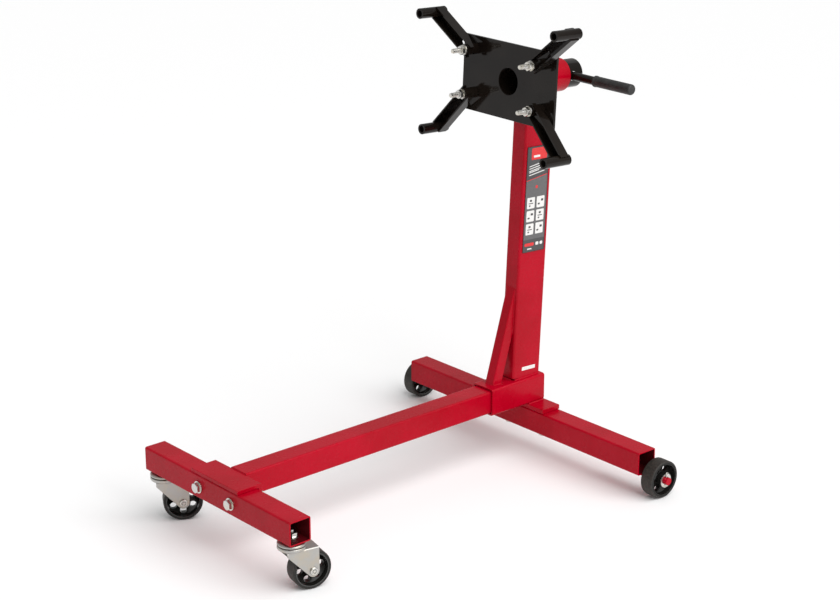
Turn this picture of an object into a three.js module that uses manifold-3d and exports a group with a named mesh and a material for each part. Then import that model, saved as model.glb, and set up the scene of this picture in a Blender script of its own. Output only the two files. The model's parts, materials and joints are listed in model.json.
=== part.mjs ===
// Engine stand, 450 kg class: a T-shaped base on four wheels, a leaning mast, and a mounting head that
// turns in a cross tube and carries four swinging arms.
// Millimetres, +Z up, -Y is the front (the side the engine hangs on), X runs along the crossbars.
import * as THREE from 'three';
import { mergeVertices } from 'three/addons/utils/BufferGeometryUtils.js';
import Module from 'manifold-3d';

const wasm = await Module();
wasm.setup();

// ---------------------------------------------------------------- driving dimensions
// gaps
const WELD_GAP = 0.3; // between pieces that are welded or bolted face to face
const RUN_GAP = 0.5; // beside anything that turns
const HOLE_GAP = 0.35; // radial, round a bolt in its hole

// wheels, all four alike
const WHEEL_R = 40;
const TYRE_W = 30;
const WHEEL_FACETS = 24;
const TREAD_DROP = 2.5; // how far the shoulders lie below the crown of the tread
const TYRE_T = 8.5; // tread to the recessed web
const WEB_T = 8;
const WEB_HOLES = 6;
const WEB_HOLE_MARGIN = 2; // from the hub and from the tyre
const HUB_R = 14;
const HUB_W = 33;

// base tubes
const TUBE = 50; // square tube of the crossbars and the leg
const TUBE_WALL = 3;
const TUBE_CORNER = 4;
const REAR_BAR_L = 710;
const FRONT_BAR_L = 470;
const BAR_SPACING = 810; // between the crossbars' centre lines

// rear axles
const AXLE_R = 10; // shank welded under the rear crossbar
const JOURNAL_R = 8; // turned end that the wheel runs on
const AXLE_SHANK_L = 120;
const AXLE_BEHIND = 20; // behind the crossbar's centre line
const WHEEL_SIDE_GAP = 3; // crossbar end to tyre
const AXLE_END_PAST_PIN = 4;
const WASHER_T = 2.5;
const AXLE_WASHER_R = 15;
const SPLIT_PIN_R = 1.6;
const SPLIT_PIN_L = 26;

// leg, sleeve and their plates
const SADDLE_L = 150;
const SADDLE_W = 50;
const SADDLE_T = 10;
const SLEEVE_WALL = 4;
const SLEEVE_CLEARANCE = 1; // round the leg, each side
const SLEEVE_L = 154;
const SLEEVE_BEHIND = 22.5; // rear end, behind the rear crossbar's centre line
const LEG_END_INSIDE = 24; // the leg's rear end stops this far inside the sleeve's rear end
const BRACKET_L = 150;
const BRACKET_T = 8;
const BRACKET_TOP_W = 58;
const BRACKET_DROP = 44; // height of the upright leaf below the top leaf

// mast and brace
const MAST_W = 40;
const MAST_D = 80;
const MAST_WALL = 3;
const MAST_CORNER = 5;
const MAST_LEAN = 2.8; // degrees, backwards
const MAST_FOOT_INSET = 6; // rear edge of its foot, ahead of the sleeve's rear end
const HEAD_HEIGHT = 650; // foot of the mast to the head's axis, along the mast
const LABEL_W = 62; // instruction label on the mast's right face
const LABEL_H = 228;
const LABEL_T = 0.4;
const LABEL_UP = 282; // its lower edge, up the mast
const LABEL_FRONT_EDGE = 8; // behind the mast's front face
const BRACE = 25;
const BRACE_WALL = 2.5;
const BRACE_LEAN = 16.4; // degrees
const BRACE_AT = 17; // front edge of its foot, behind the sleeve's front end

// head
const PLATE_W = 272;
const PLATE_H = 158;
const PLATE_T = 6;
const PLATE_CORNER = 5;
const PLATE_BORE_STEP = 1; // the tube's wall that shows round the plate's bore
const PLATE_TO_HOUSING = 5.5;
const HOUSING_WALL = 4;
const HOUSING_L = 135;
const HEAD_TUBE_R = 30;
const HEAD_TUBE_WALL = 3;
const HEAD_CLEARANCE = 1; // between the turning tube and its housing
const LOCK_HOLES = 8;
const LOCK_PIN_R = 6;
const LOCK_TRAVEL = 10;
const LOCK_BOSS_WALL = 4.5;
const LOCK_BOSS_L = 24;
const LOCK_PIN_OUT = 16; // bare shaft between the boss and the cross handle
const LOCK_HANDLE_R = 4.5;
const LOCK_HANDLE_L = 56;

// turning handle
const HANDLE_R = 9;
const HANDLE_PAST_HOUSING = 4.5; // housing to the near side of the bar
const TUBE_PAST_HANDLE = 17.5; // far side of the bar to the tube's rear end
const HANDLE_RIGHT = 162; // reach of the bar past the head tube, each side
const HANDLE_LEFT = 42;
const GRIP_R = 12;
const GRIP_L = 104;
const GRIP_END = 5; // closed end past the bar
const STOP_R = 13;
const STOP_W = 8;

// arms
const ARM_BOLT_SIDE_EDGE = 37; // from the plate's left and right edges
const ARM_BOLT_UPPER_EDGE = 26.5;
const ARM_BOLT_LOWER_EDGE = 39.5;
const ARM_L = 120; // bolt to finger
const ARM_D = 24;
const ARM_SHEET = 3;
const ARM_STANDOFF = 6; // from the plate to the back of the arm
const ARM_WEB_START = 36; // from the bolt; ahead of it only the flanges go on
const BUSH_GRIP = 0.5; // the bolt's bush is that much wider than the room between the flanges
const BUSH_PAST_FRONT = 4.5; // and stands that far out of them
const FLANGE_TIP = 9; // past the bolt
const FLANGE_TIP_D = 9;
const FINGER_R = 11;
const FINGER_BORE_R = 7;
const FINGER_L = 69;

// casters
const CASTER_INSET = 27; // stem, from the crossbar's end
const CASTER_TRAIL = 35;
const CASTER_HEADING = { left: 30, right: 12 }; // degrees from straight back, towards +X
const RACE_R = 28;
const UPPER_RACE_H = 8;
const LOWER_RACE_H = 7.1;
const RACE_SLIT = 1.6; // the dark gap between the two raceways
const FORK_T = 3;
const FORK_SIDE_GAP = 1;
const FORK_LEG_END_R = 12;
const FORK_FRONT = 18; // reach of the leg's top edge ahead of and behind the stem
const FORK_BACK = 47;
const FORK_EDGE = 6; // upright edge of the leg below the crown
const CROWN_CLEARANCE = 5; // wheel to crown
const STEM_HEAD_R = 9;
const CASTER_AXLE_R = 5;
const RIVET_HEAD_R = 8;
const RIVET_HEAD_T = 3;

// fasteners: shank radius, across flats, head height, nut height, washer radius
const M12 = { r: 6, flats: 19, head: 7.5, nut: 10, washer: 12.5 };
const M10 = { r: 5, flats: 17, head: 6.5, nut: 8.5, washer: 10.5 };
const BASE_BOLT_X = 52; // both pairs of crossbar bolts, from the centre
const SADDLE_THREAD = 7; // depth of the blind threads in the saddle plate
const THREAD_PAST_NUT = 6;
const ARM_THREAD_PAST_NUT = 22;
const LOCK_BOLT_AT = 41.5; // leg lock bolt, behind the sleeve's front end

// ---------------------------------------------------------------- places worked out from them
const rearBarBottom = WHEEL_R + AXLE_R + WELD_GAP;
const rearBarTop = rearBarBottom + TUBE;
const saddleBottom = rearBarTop + WELD_GAP;
const sleeveBottom = saddleBottom + SADDLE_T + WELD_GAP;
const sleeveSize = TUBE + 2 * (SLEEVE_CLEARANCE + SLEEVE_WALL);
const sleeveTop = sleeveBottom + sleeveSize;
const legZ = sleeveBottom + sleeveSize / 2;
const crownZ = 2 * WHEEL_R + CROWN_CLEARANCE;
const crownTop = crownZ + FORK_T;
const slitZ = crownTop + LOWER_RACE_H;
const upperRaceZ = slitZ + RACE_SLIT;
const casterTop = upperRaceZ + UPPER_RACE_H;
const frontBarBottom = casterTop + WELD_GAP;
const frontBarTop = frontBarBottom + TUBE;
const frontBarZ = frontBarBottom + TUBE / 2;
const frontBarBack = -BAR_SPACING + TUBE / 2;
const sleeveFront = SLEEVE_BEHIND - SLEEVE_L;
const bracketBack = frontBarBack + WELD_GAP + BRACKET_T;
const legFront = bracketBack + WELD_GAP;
const legRear = SLEEVE_BEHIND - LEG_END_INSIDE;
const lockBoltY = sleeveFront + LOCK_BOLT_AT;
const mastY = SLEEVE_BEHIND - MAST_FOOT_INSET - MAST_D / 2;
const footZ = sleeveTop + WELD_GAP;
const wheelX = REAR_BAR_L / 2 + WHEEL_SIDE_GAP + TYRE_W / 2;
const hubOuter = wheelX + HUB_W / 2;
const axleShoulder = wheelX - HUB_W / 2 - RUN_GAP;
const washerX = hubOuter + RUN_GAP;
const splitPinX = washerX + WASHER_T + RUN_GAP + SPLIT_PIN_R;
const axleEnd = splitPinX + SPLIT_PIN_R + AXLE_END_PAST_PIN;
const casterX = FRONT_BAR_L / 2 - CASTER_INSET;
const rimInnerR = WHEEL_R - TYRE_T;
const webHoleR = (rimInnerR - HUB_R) / 2 - WEB_HOLE_MARGIN;
const lean = THREE.MathUtils.degToRad(MAST_LEAN);

// the head is laid out in the mast's own frame: y runs back along the head's axis from the mast's middle
const housingFront = -HOUSING_L / 2;
const housingRear = HOUSING_L / 2;
const plateBack = housingFront - PLATE_TO_HOUSING;
const plateFront = plateBack - PLATE_T;
const handleY = housingRear + HANDLE_PAST_HOUSING + HANDLE_R;
const headTubeRear = handleY + HANDLE_R + TUBE_PAST_HANDLE;
const headTubeInnerR = HEAD_TUBE_R - HEAD_TUBE_WALL;
const housingInnerR = HEAD_TUBE_R + HEAD_CLEARANCE;
const housingR = housingInnerR + HOUSING_WALL;
const lockBossR = LOCK_PIN_R + LOCK_BOSS_WALL;
const bossEnd = housingR + LOCK_BOSS_L;
const handleRight = HEAD_TUBE_R + HANDLE_RIGHT;
const handleLeft = HEAD_TUBE_R + HANDLE_LEFT;
const webBack = plateFront - ARM_STANDOFF;
const bushFront = webBack - ARM_D - BUSH_PAST_FRONT;
const armHalfW = FINGER_R + ARM_SHEET; // the finger is as wide as the channel inside

// arm bolts on the plate, with each arm's angle in degrees from straight out to the right, seen from the front
const armBoltX = PLATE_W / 2 - ARM_BOLT_SIDE_EDGE;
const upperBoltZ = PLATE_H / 2 - ARM_BOLT_UPPER_EDGE;
const lowerBoltZ = ARM_BOLT_LOWER_EDGE - PLATE_H / 2;
const armPlaces = [
  { name: 'upper_left', x: -armBoltX, z: upperBoltZ, angle: 148.7 },
  { name: 'lower_left', x: -armBoltX, z: lowerBoltZ, angle: -133.7 },
  { name: 'upper_right', x: armBoltX, z: upperBoltZ, angle: 39.4 },
  { name: 'lower_right', x: armBoltX, z: lowerBoltZ, angle: -46.1 },
];

// ---------------------------------------------------------------- paints and metals
const finish = (color, roughness, metalness) => new THREE.MeshStandardMaterial({ color, roughness, metalness });
const redPaint = finish(0xb01020, 0.25, 0.1);
const blackPaint = finish(0x231e1c, 0.15, 0.1);
const zinc = finish(0xb8b2a4, 0.35, 0.9);
const wheelPlastic = finish(0x1a1816, 0.45, 0);
const gripRubber = finish(0x242222, 0.7, 0);
const labelFilm = finish(0x4a4848, 0.4, 0);

// ---------------------------------------------------------------- tools
function toSolid(geometry) {
  const bare = geometry.clone();
  bare.deleteAttribute('normal');
  bare.deleteAttribute('uv');
  const merged = mergeVertices(bare, 1e-4);
  const vertProperties = new Float32Array(merged.attributes.position.array);
  const triVerts = new Uint32Array(merged.index.array);
  return new wasm.Manifold(new wasm.Mesh({ numProp: 3, vertProperties, triVerts }));
}

function toGeometry(solid) {
  const { vertProperties, triVerts } = solid.getMesh();
  const geometry = new THREE.BufferGeometry();
  geometry.setAttribute('position', new THREE.BufferAttribute(new Float32Array(vertProperties), 3));
  geometry.setIndex(new THREE.BufferAttribute(new Uint32Array(triVerts), 1));
  geometry.computeVertexNormals();
  return geometry;
}

const join = (...solids) => solids.reduce((sum, next) => sum.add(next));
const cut = (solid, ...tools) => tools.reduce((left, tool) => left.subtract(tool), solid);

function roundedRect(width, height, radius) {
  const [w, h] = [width / 2, height / 2];
  const shape = new THREE.Shape();
  shape.absarc(w - radius, h - radius, radius, 0, Math.PI / 2);
  shape.absarc(-w + radius, h - radius, radius, Math.PI / 2, Math.PI);
  shape.absarc(-w + radius, -h + radius, radius, Math.PI, Math.PI * 1.5);
  shape.absarc(w - radius, -h + radius, radius, Math.PI * 1.5, Math.PI * 2);
  return shape;
}

function boxTube(width, height, wall, corner) {
  const shape = roundedRect(width, height, corner);
  shape.holes.push(roundedRect(width - 2 * wall, height - 2 * wall, corner - wall / 2));
  return shape;
}

function extrude(shape, length, curveSegments = 1) {
  return new THREE.ExtrudeGeometry(shape, { depth: length, bevelEnabled: false, curveSegments });
}

// a section extruded along an axis; its own x and y become the two row axes named
const turned = (x, y, z) => new THREE.Matrix4().makeBasis(x, y, z);
const [X, Y, Z] = [new THREE.Vector3(1, 0, 0), new THREE.Vector3(0, 1, 0), new THREE.Vector3(0, 0, 1)];
const acrossX = turned(Y, Z, X); // section in Y and Z, extruded towards +X
const backToFront = turned(X, Z, Y.clone().negate()); // section in X and Z, extruded towards -Y

function barX(shape, from, to, y, z, curveSegments) {
  return extrude(shape, to - from, curveSegments).applyMatrix4(acrossX).translate(from, y, z);
}

function barY(shape, rear, front, x, z, curveSegments) {
  return extrude(shape, rear - front, curveSegments).applyMatrix4(backToFront).translate(x, rear, z);
}

// a cylinder between two points
function rod(radius, from, to, segments = 12) {
  const direction = new THREE.Vector3().subVectors(to, from);
  const geometry = new THREE.CylinderGeometry(radius, radius, direction.length(), segments);
  geometry.applyQuaternion(new THREE.Quaternion().setFromUnitVectors(Y, direction.clone().normalize()));
  const middle = new THREE.Vector3().addVectors(from, to).multiplyScalar(0.5);
  return geometry.translate(middle.x, middle.y, middle.z);
}

const at = (x, y, z) => new THREE.Vector3(x, y, z);
const rodSolid = (radius, from, to, segments) => toSolid(rod(radius, from, to, segments));
const boxSolid = (w, d, h, x, y, z) => toSolid(new THREE.BoxGeometry(w, d, h).translate(x, y, z));

// a closed profile of [radius, height] pairs, spun about Z
function spun(profile, segments) {
  const points = [...profile, profile[0]].map(([r, z]) => new THREE.Vector2(r, z));
  return new THREE.LatheGeometry(points, segments).rotateX(Math.PI / 2);
}

function ring(outer, inner, bottom, top, segments = 16) {
  return spun([[inner, bottom], [outer, bottom], [outer, top], [inner, top]], segments);
}

function hexShape(flats) {
  const corner = flats / Math.sqrt(3);
  const points = Array.from({ length: 6 }, (_, i) => {
    const angle = (i * Math.PI) / 3;
    return new THREE.Vector2(corner * Math.cos(angle), corner * Math.sin(angle));
  });
  return new THREE.Shape(points);
}

// hex bolt along +Z with its washer; z = 0 is the face it is tightened against
function boltGeometry(size, length) {
  const head = toSolid(extrude(hexShape(size.flats), size.head).translate(0, 0, -WASHER_T - size.head));
  const washer = rodSolid(size.washer, at(0, 0, -WASHER_T), at(0, 0, 0));
  const shank = rodSolid(size.r, at(0, 0, -WASHER_T), at(0, 0, length));
  return toGeometry(join(head, washer, shank));
}

// nut along +Z with its washer, threaded on from above; z = 0 is the face it is tightened against
function nutGeometry(size) {
  const body = toSolid(extrude(hexShape(size.flats), size.nut).translate(0, 0, WASHER_T));
  const washer = rodSolid(size.washer, at(0, 0, 0), at(0, 0, WASHER_T));
  const top = WASHER_T + size.nut;
  return toGeometry(cut(join(body, washer), rodSolid(size.r + HOLE_GAP, at(0, 0, -1), at(0, 0, top + 1))));
}

const stand = new THREE.Group();
const sides = { left: -1, right: 1 };

function part(name, shape, material, parent = stand) {
  const geometry = shape.isBufferGeometry ? shape : toGeometry(shape);
  const mesh = new THREE.Mesh(geometry, material);
  mesh.name = name;
  parent.add(mesh);
  return mesh;
}

// turns a piece made along +Z to point along a direction, at a place
function aim(mesh, place, direction) {
  mesh.position.copy(place);
  mesh.quaternion.setFromUnitVectors(Z, direction);
  return mesh;
}

// ---------------------------------------------------------------- wheels
// it stands on a flat of its tread, so it's the flats that are WHEEL_R from the axle
function wheelSolid(boreR) {
  const [tyre, web, hub] = [TYRE_W / 2, WEB_T / 2, HUB_W / 2];
  const halfFacet = Math.PI / WHEEL_FACETS;
  const crown = WHEEL_R / Math.cos(halfFacet);
  const shoulder = crown - TREAD_DROP;
  const flat = tyre * 0.6;
  const outline = spun([
    [boreR, -hub], [HUB_R, -hub], [HUB_R, -web], [rimInnerR, -web], [rimInnerR, -tyre],
    [shoulder, -tyre], [crown, -flat], [crown, flat], [shoulder, tyre],
    [rimInnerR, tyre], [rimInnerR, web], [HUB_R, web], [HUB_R, hub], [boreR, hub],
  ], WHEEL_FACETS);
  const solid = toSolid(outline.rotateZ(halfFacet));
  const holeAt = (HUB_R + rimInnerR) / 2;
  const holes = Array.from({ length: WEB_HOLES }, (_, i) => {
    const angle = ((i + 0.5) * 2 * Math.PI) / WEB_HOLES;
    const [x, y] = [holeAt * Math.cos(angle), holeAt * Math.sin(angle)];
    return rodSolid(webHoleR, at(x, y, -web - 1), at(x, y, web + 1), 8);
  });
  return cut(solid, ...holes);
}

const rearWheel = toGeometry(wheelSolid(JOURNAL_R + HOLE_GAP));
const casterWheel = toGeometry(wheelSolid(CASTER_AXLE_R + HOLE_GAP));

// ---------------------------------------------------------------- base
const squareTube = boxTube(TUBE, TUBE, TUBE_WALL, TUBE_CORNER);
const boltXs = Object.values(sides).map((side) => side * BASE_BOLT_X);

function buildRearCrossbar() {
  const tube = toSolid(barX(squareTube, -REAR_BAR_L / 2, REAR_BAR_L / 2, 0, rearBarBottom + TUBE / 2));
  const holes = boltXs.map((x) =>
    rodSolid(M12.r + HOLE_GAP, at(x, 0, rearBarBottom - 1), at(x, 0, rearBarTop + 1)));
  part('rear_crossbar', cut(tube, ...holes), redPaint);
}

function buildFrontCrossbar() {
  const tube = toSolid(barX(squareTube, -FRONT_BAR_L / 2, FRONT_BAR_L / 2, -BAR_SPACING, frontBarZ));
  const front = frontBarBack - TUBE;
  const across = boltXs.map((x) =>
    rodSolid(M12.r + HOLE_GAP, at(x, front - 1, frontBarZ), at(x, frontBarBack + 1, frontBarZ)));
  const stems = Object.values(sides).map((side) =>
    rodSolid(M12.r + HOLE_GAP, at(side * casterX, -BAR_SPACING, frontBarBottom - 1),
      at(side * casterX, -BAR_SPACING, frontBarZ)));
  part('front_crossbar', cut(tube, ...across, ...stems), redPaint);
}

function buildLeg() {
  const tube = toSolid(barY(squareTube, legRear, legFront, 0, legZ));
  const bottom = legZ - TUBE / 2;
  const hole = rodSolid(M12.r + HOLE_GAP, at(0, lockBoltY, bottom - 1), at(0, lockBoltY, legZ));
  part('main_leg', cut(tube, hole), redPaint);
}

function buildSleeve() {
  const section = boxTube(sleeveSize, sleeveSize, SLEEVE_WALL, TUBE_CORNER + 1);
  const tube = toSolid(barY(section, SLEEVE_BEHIND, sleeveFront, 0, legZ));
  const hole = rodSolid(M12.r + HOLE_GAP, at(0, lockBoltY, sleeveBottom - 1), at(0, lockBoltY, legZ));
  part('leg_sleeve', cut(tube, hole), redPaint);
}

function buildSaddlePlate() {
  const middle = saddleBottom + SADDLE_T / 2;
  const plate = boxSolid(SADDLE_L, SADDLE_W, SADDLE_T, 0, 0, middle);
  const threads = boltXs.map((x) =>
    rodSolid(M12.r + HOLE_GAP, at(x, 0, saddleBottom - 1), at(x, 0, saddleBottom + SADDLE_THREAD)));
  part('saddle_plate', cut(plate, ...threads), redPaint);
}

// angle iron: top leaf on the front crossbar, upright leaf behind it
function buildBracket() {
  const bottom = frontBarTop + WELD_GAP;
  const top = bottom + BRACKET_T;
  const inner = bracketBack - BRACKET_T;
  const outline = new THREE.Shape();
  outline.moveTo(bracketBack - BRACKET_TOP_W, bottom);
  outline.lineTo(inner, bottom);
  outline.lineTo(inner, bottom - BRACKET_DROP);
  outline.lineTo(bracketBack, bottom - BRACKET_DROP);
  outline.lineTo(bracketBack, top);
  outline.lineTo(bracketBack - BRACKET_TOP_W, top);
  const angle = toSolid(barX(outline, -BRACKET_L / 2, BRACKET_L / 2, 0, 0));
  const holes = boltXs.map((x) =>
    rodSolid(M12.r + HOLE_GAP, at(x, inner - 1, frontBarZ), at(x, bracketBack + 1, frontBarZ)));
  part('leg_bracket', cut(angle, ...holes), redPaint);
}

function buildBaseFasteners() {
  const front = frontBarBack - TUBE;
  const frontGrip = bracketBack - front;
  const legBolt = boltGeometry(M12, frontGrip + WELD_GAP * 2 + WASHER_T + M12.nut + THREAD_PAST_NUT);
  const legNut = nutGeometry(M12);
  const saddleBolt = boltGeometry(M12, WELD_GAP + TUBE + WELD_GAP + SADDLE_THREAD - 1);
  for (const [name, side] of Object.entries(sides)) {
    const x = side * BASE_BOLT_X;
    aim(part(`leg_bolt_${name}`, legBolt, zinc), at(x, front - WELD_GAP, frontBarZ), Y);
    aim(part(`leg_nut_${name}`, legNut, zinc), at(x, bracketBack + WELD_GAP, frontBarZ), Y);
    aim(part(`saddle_bolt_${name}`, saddleBolt, zinc), at(x, 0, rearBarBottom - WELD_GAP), Z);
  }
  // the lock bolt comes up through the sleeve into a nut welded inside the leg
  const legFloor = legZ - TUBE / 2 + TUBE_WALL;
  const reach = legFloor - sleeveBottom + WASHER_T + M12.nut;
  const place = at(0, lockBoltY, sleeveBottom - WELD_GAP);
  aim(part('leg_lock_bolt', boltGeometry(M12, reach), zinc), place, Z);
  aim(part('leg_lock_nut', legNut, zinc), at(0, lockBoltY, legFloor + WELD_GAP), Z);
}

function buildRearWheels() {
  const pinHole = rodSolid(SPLIT_PIN_R + HOLE_GAP, at(splitPinX, 0, -AXLE_R), at(splitPinX, 0, AXLE_R), 8);
  const shank = rodSolid(AXLE_R, at(axleShoulder - AXLE_SHANK_L, 0, 0), at(axleShoulder, 0, 0), 16);
  const journal = rodSolid(JOURNAL_R, at(axleShoulder, 0, 0), at(axleEnd, 0, 0), 16);
  const axle = toGeometry(cut(join(shank, journal), pinHole));
  const washer = ring(AXLE_WASHER_R, JOURNAL_R + HOLE_GAP, 0, WASHER_T);
  const eyeR = SPLIT_PIN_R * 1.6;
  const pinTop = SPLIT_PIN_L / 2;
  const eye = new THREE.TorusGeometry(eyeR, SPLIT_PIN_R * 0.6, 6, 8).rotateY(Math.PI / 2);
  const splitPin = toGeometry(join(
    rodSolid(SPLIT_PIN_R, at(0, 0, -SPLIT_PIN_L / 2), at(0, 0, pinTop), 8),
    toSolid(eye.translate(0, 0, pinTop + eyeR)),
  ));
  for (const [name, side] of Object.entries(sides)) {
    const corner = new THREE.Group();
    corner.position.set(0, AXLE_BEHIND, WHEEL_R);
    corner.rotation.z = side < 0 ? Math.PI : 0;
    stand.add(corner);
    part(`rear_axle_${name}`, axle, redPaint, corner);
    aim(part(`rear_wheel_${name}`, rearWheel, wheelPlastic, corner), at(wheelX, 0, 0), X);
    aim(part(`rear_washer_${name}`, washer, zinc, corner), at(washerX, 0, 0), X);
    part(`rear_split_pin_${name}`, splitPin, zinc, corner).position.set(splitPinX, 0, 0);
  }
}

// ---------------------------------------------------------------- casters
// the fork is laid out with the stem on Z and the wheel trailing along +Y
function forkSolid() {
  const inner = HUB_W / 2 + FORK_SIDE_GAP;
  const outer = inner + FORK_T;
  const side = new THREE.Shape();
  side.moveTo(-FORK_FRONT, crownTop);
  side.lineTo(-FORK_FRONT, crownZ - FORK_EDGE);
  side.absarc(CASTER_TRAIL, WHEEL_R, FORK_LEG_END_R, Math.PI * 1.24, Math.PI * 2, false);
  side.lineTo(FORK_BACK, crownZ - FORK_EDGE);
  side.lineTo(FORK_BACK, crownTop);
  const legs = [inner, -outer].map((from) => toSolid(barX(side, from, from + FORK_T, 0, 0, 4)));
  const length = FORK_FRONT + FORK_BACK;
  const crown = boxSolid(outer * 2, length, FORK_T, 0, (FORK_BACK - FORK_FRONT) / 2, crownZ + FORK_T / 2);
  const race = toSolid(spun([
    [M12.r + 1, crownTop - 1], [RACE_R - 3, crownTop - 1], [RACE_R, crownTop + LOWER_RACE_H / 2],
    [RACE_R - 2, slitZ], [M12.r + 1, slitZ],
  ], 20));
  const stemHole = rodSolid(M12.r + RUN_GAP, at(0, 0, crownZ - 1), at(0, 0, slitZ + 1));
  const axleHole = rodSolid(CASTER_AXLE_R + HOLE_GAP, at(-outer - 1, CASTER_TRAIL, WHEEL_R),
    at(outer + 1, CASTER_TRAIL, WHEEL_R));
  return cut(join(crown, race, ...legs), stemHole, axleHole);
}

function buildCasters() {
  const fork = toGeometry(forkSolid());
  const upperRace = spun([
    [M12.r + HOLE_GAP, upperRaceZ], [RACE_R - 2, upperRaceZ], [RACE_R, upperRaceZ + 3],
    [RACE_R - 7, casterTop], [M12.r + HOLE_GAP, casterTop],
  ], 20);
  const stemTop = frontBarBottom + TUBE_WALL + WELD_GAP + WASHER_T + M12.nut + THREAD_PAST_NUT;
  const stemHeadTop = crownZ - RUN_GAP;
  const stem = toGeometry(join(
    rodSolid(STEM_HEAD_R, at(0, 0, stemHeadTop - FORK_T), at(0, 0, stemHeadTop)),
    rodSolid(M12.r, at(0, 0, stemHeadTop - 1), at(0, 0, stemTop)),
  ));
  const reach = HUB_W / 2 + FORK_SIDE_GAP + FORK_T + RUN_GAP;
  const rivet = toGeometry(join(
    rodSolid(CASTER_AXLE_R, at(-reach - 1, 0, 0), at(reach + 1, 0, 0)),
    ...[-1, 1].map((end) => rodSolid(RIVET_HEAD_R, at(end * reach, 0, 0), at(end * (reach + RIVET_HEAD_T), 0, 0))),
  ));
  const nut = nutGeometry(M12);
  for (const [name, side] of Object.entries(sides)) {
    const caster = new THREE.Group();
    caster.position.set(side * casterX, -BAR_SPACING, 0);
    stand.add(caster);
    part(`caster_race_${name}`, upperRace, zinc, caster);
    part(`caster_stem_${name}`, stem, zinc, caster);
    aim(part(`caster_nut_${name}`, nut, zinc, caster), at(0, 0, frontBarBottom + TUBE_WALL + WELD_GAP), Z);
    const swivel = new THREE.Group();
    swivel.rotation.z = THREE.MathUtils.degToRad(-CASTER_HEADING[name]);
    caster.add(swivel);
    part(`caster_fork_${name}`, fork, zinc, swivel);
    part(`caster_axle_${name}`, rivet, zinc, swivel).position.set(0, CASTER_TRAIL, WHEEL_R);
    aim(part(`caster_wheel_${name}`, casterWheel, wheelPlastic, swivel), at(0, CASTER_TRAIL, WHEEL_R), X);
  }
}

// ---------------------------------------------------------------- mast
const mastFrame = new THREE.Group();
mastFrame.position.set(0, mastY, footZ);
mastFrame.rotation.x = -lean;
stand.add(mastFrame);
mastFrame.updateMatrix();

function buildMast() {
  const tube = extrude(boxTube(MAST_W, MAST_D, MAST_WALL, MAST_CORNER), HEAD_HEIGHT + MAST_D).translate(0, 0, -MAST_D);
  const belowFoot = boxSolid(MAST_W * 2, MAST_D * 3, MAST_D * 2, 0, 0, -MAST_D);
  const intoMast = new THREE.Matrix4().makeRotationX(lean);
  const foot = toSolid(toGeometry(belowFoot).applyMatrix4(intoMast));
  const cope = rodSolid(housingR + WELD_GAP, at(0, -MAST_D, HEAD_HEIGHT), at(0, MAST_D, HEAD_HEIGHT), 28);
  const capped = boxSolid(MAST_W * 2, MAST_D * 2, MAST_D, 0, 0, HEAD_HEIGHT + MAST_D / 2);
  part('mast', cut(toSolid(tube), foot, cope, capped), redPaint, mastFrame);
}

function buildLabel() {
  const outline = roundedRect(LABEL_W, LABEL_H, 2 * LABEL_T);
  const start = MAST_W / 2 + WELD_GAP;
  const y = LABEL_FRONT_EDGE + (LABEL_W - MAST_D) / 2;
  part('mast_label', barX(outline, start, start + LABEL_T, y, LABEL_UP + LABEL_H / 2), labelFilm, mastFrame);
}

// square tube from the sleeve up to the mast's front face
function buildBrace() {
  const angle = THREE.MathUtils.degToRad(BRACE_LEAN);
  const front = sleeveFront + BRACE_AT;
  const rise = (mastY - MAST_D / 2 - front) / (Math.tan(angle) - Math.tan(lean));
  const length = rise / Math.cos(angle) + 3 * BRACE;
  const tube = extrude(boxTube(BRACE, BRACE, BRACE_WALL, BRACE_WALL), length).translate(0, BRACE / 2, -BRACE);
  tube.rotateX(-angle).translate(0, front, footZ);
  const belowFoot = boxSolid(BRACE * 2, SLEEVE_L * 2, BRACE * 4, 0, front, footZ - BRACE * 2);
  const behind = new THREE.BoxGeometry(BRACE * 2, SLEEVE_L * 2, HEAD_HEIGHT * 2);
  behind.translate(0, SLEEVE_L - MAST_D / 2 - WELD_GAP, 0).applyMatrix4(mastFrame.matrix);
  part('mast_brace', cut(toSolid(tube), belowFoot, toSolid(behind)), redPaint);
}

// ---------------------------------------------------------------- head
function roundTubeY(outer, inner, front, rear, segments) {
  return ring(outer, inner, 0, rear - front, segments).rotateX(-Math.PI / 2).translate(0, front, 0);
}

const headFrame = new THREE.Group();
headFrame.position.set(0, 0, HEAD_HEIGHT);
mastFrame.add(headFrame);

function buildHousing() {
  const tube = toSolid(roundTubeY(housingR, housingInnerR, housingFront, housingRear, 28));
  const middleR = (housingR + housingInnerR) / 2;
  const boss = rodSolid(lockBossR, at(-middleR, 0, 0), at(-bossEnd, 0, 0), 14);
  const hole = rodSolid(LOCK_PIN_R + HOLE_GAP, at(1 - housingInnerR, 0, 0), at(-bossEnd - 1, 0, 0), 14);
  part('head_housing', cut(join(tube, boss), hole), redPaint, headFrame);
}

function buildPlate() {
  const outline = roundedRect(PLATE_W, PLATE_H, PLATE_CORNER);
  const plate = toSolid(barY(outline, plateBack, plateFront, 0, 0));
  const boreR = headTubeInnerR + PLATE_BORE_STEP;
  const bore = rodSolid(boreR, at(0, plateFront - 1, 0), at(0, plateBack + 1, 0), 28);
  const holes = armPlaces.map(({ x, z }) =>
    rodSolid(M10.r + HOLE_GAP, at(x, plateFront - 1, z), at(x, plateBack + 1, z)));
  part('mounting_plate', cut(plate, bore, ...holes), blackPaint, headFrame);
}

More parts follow.
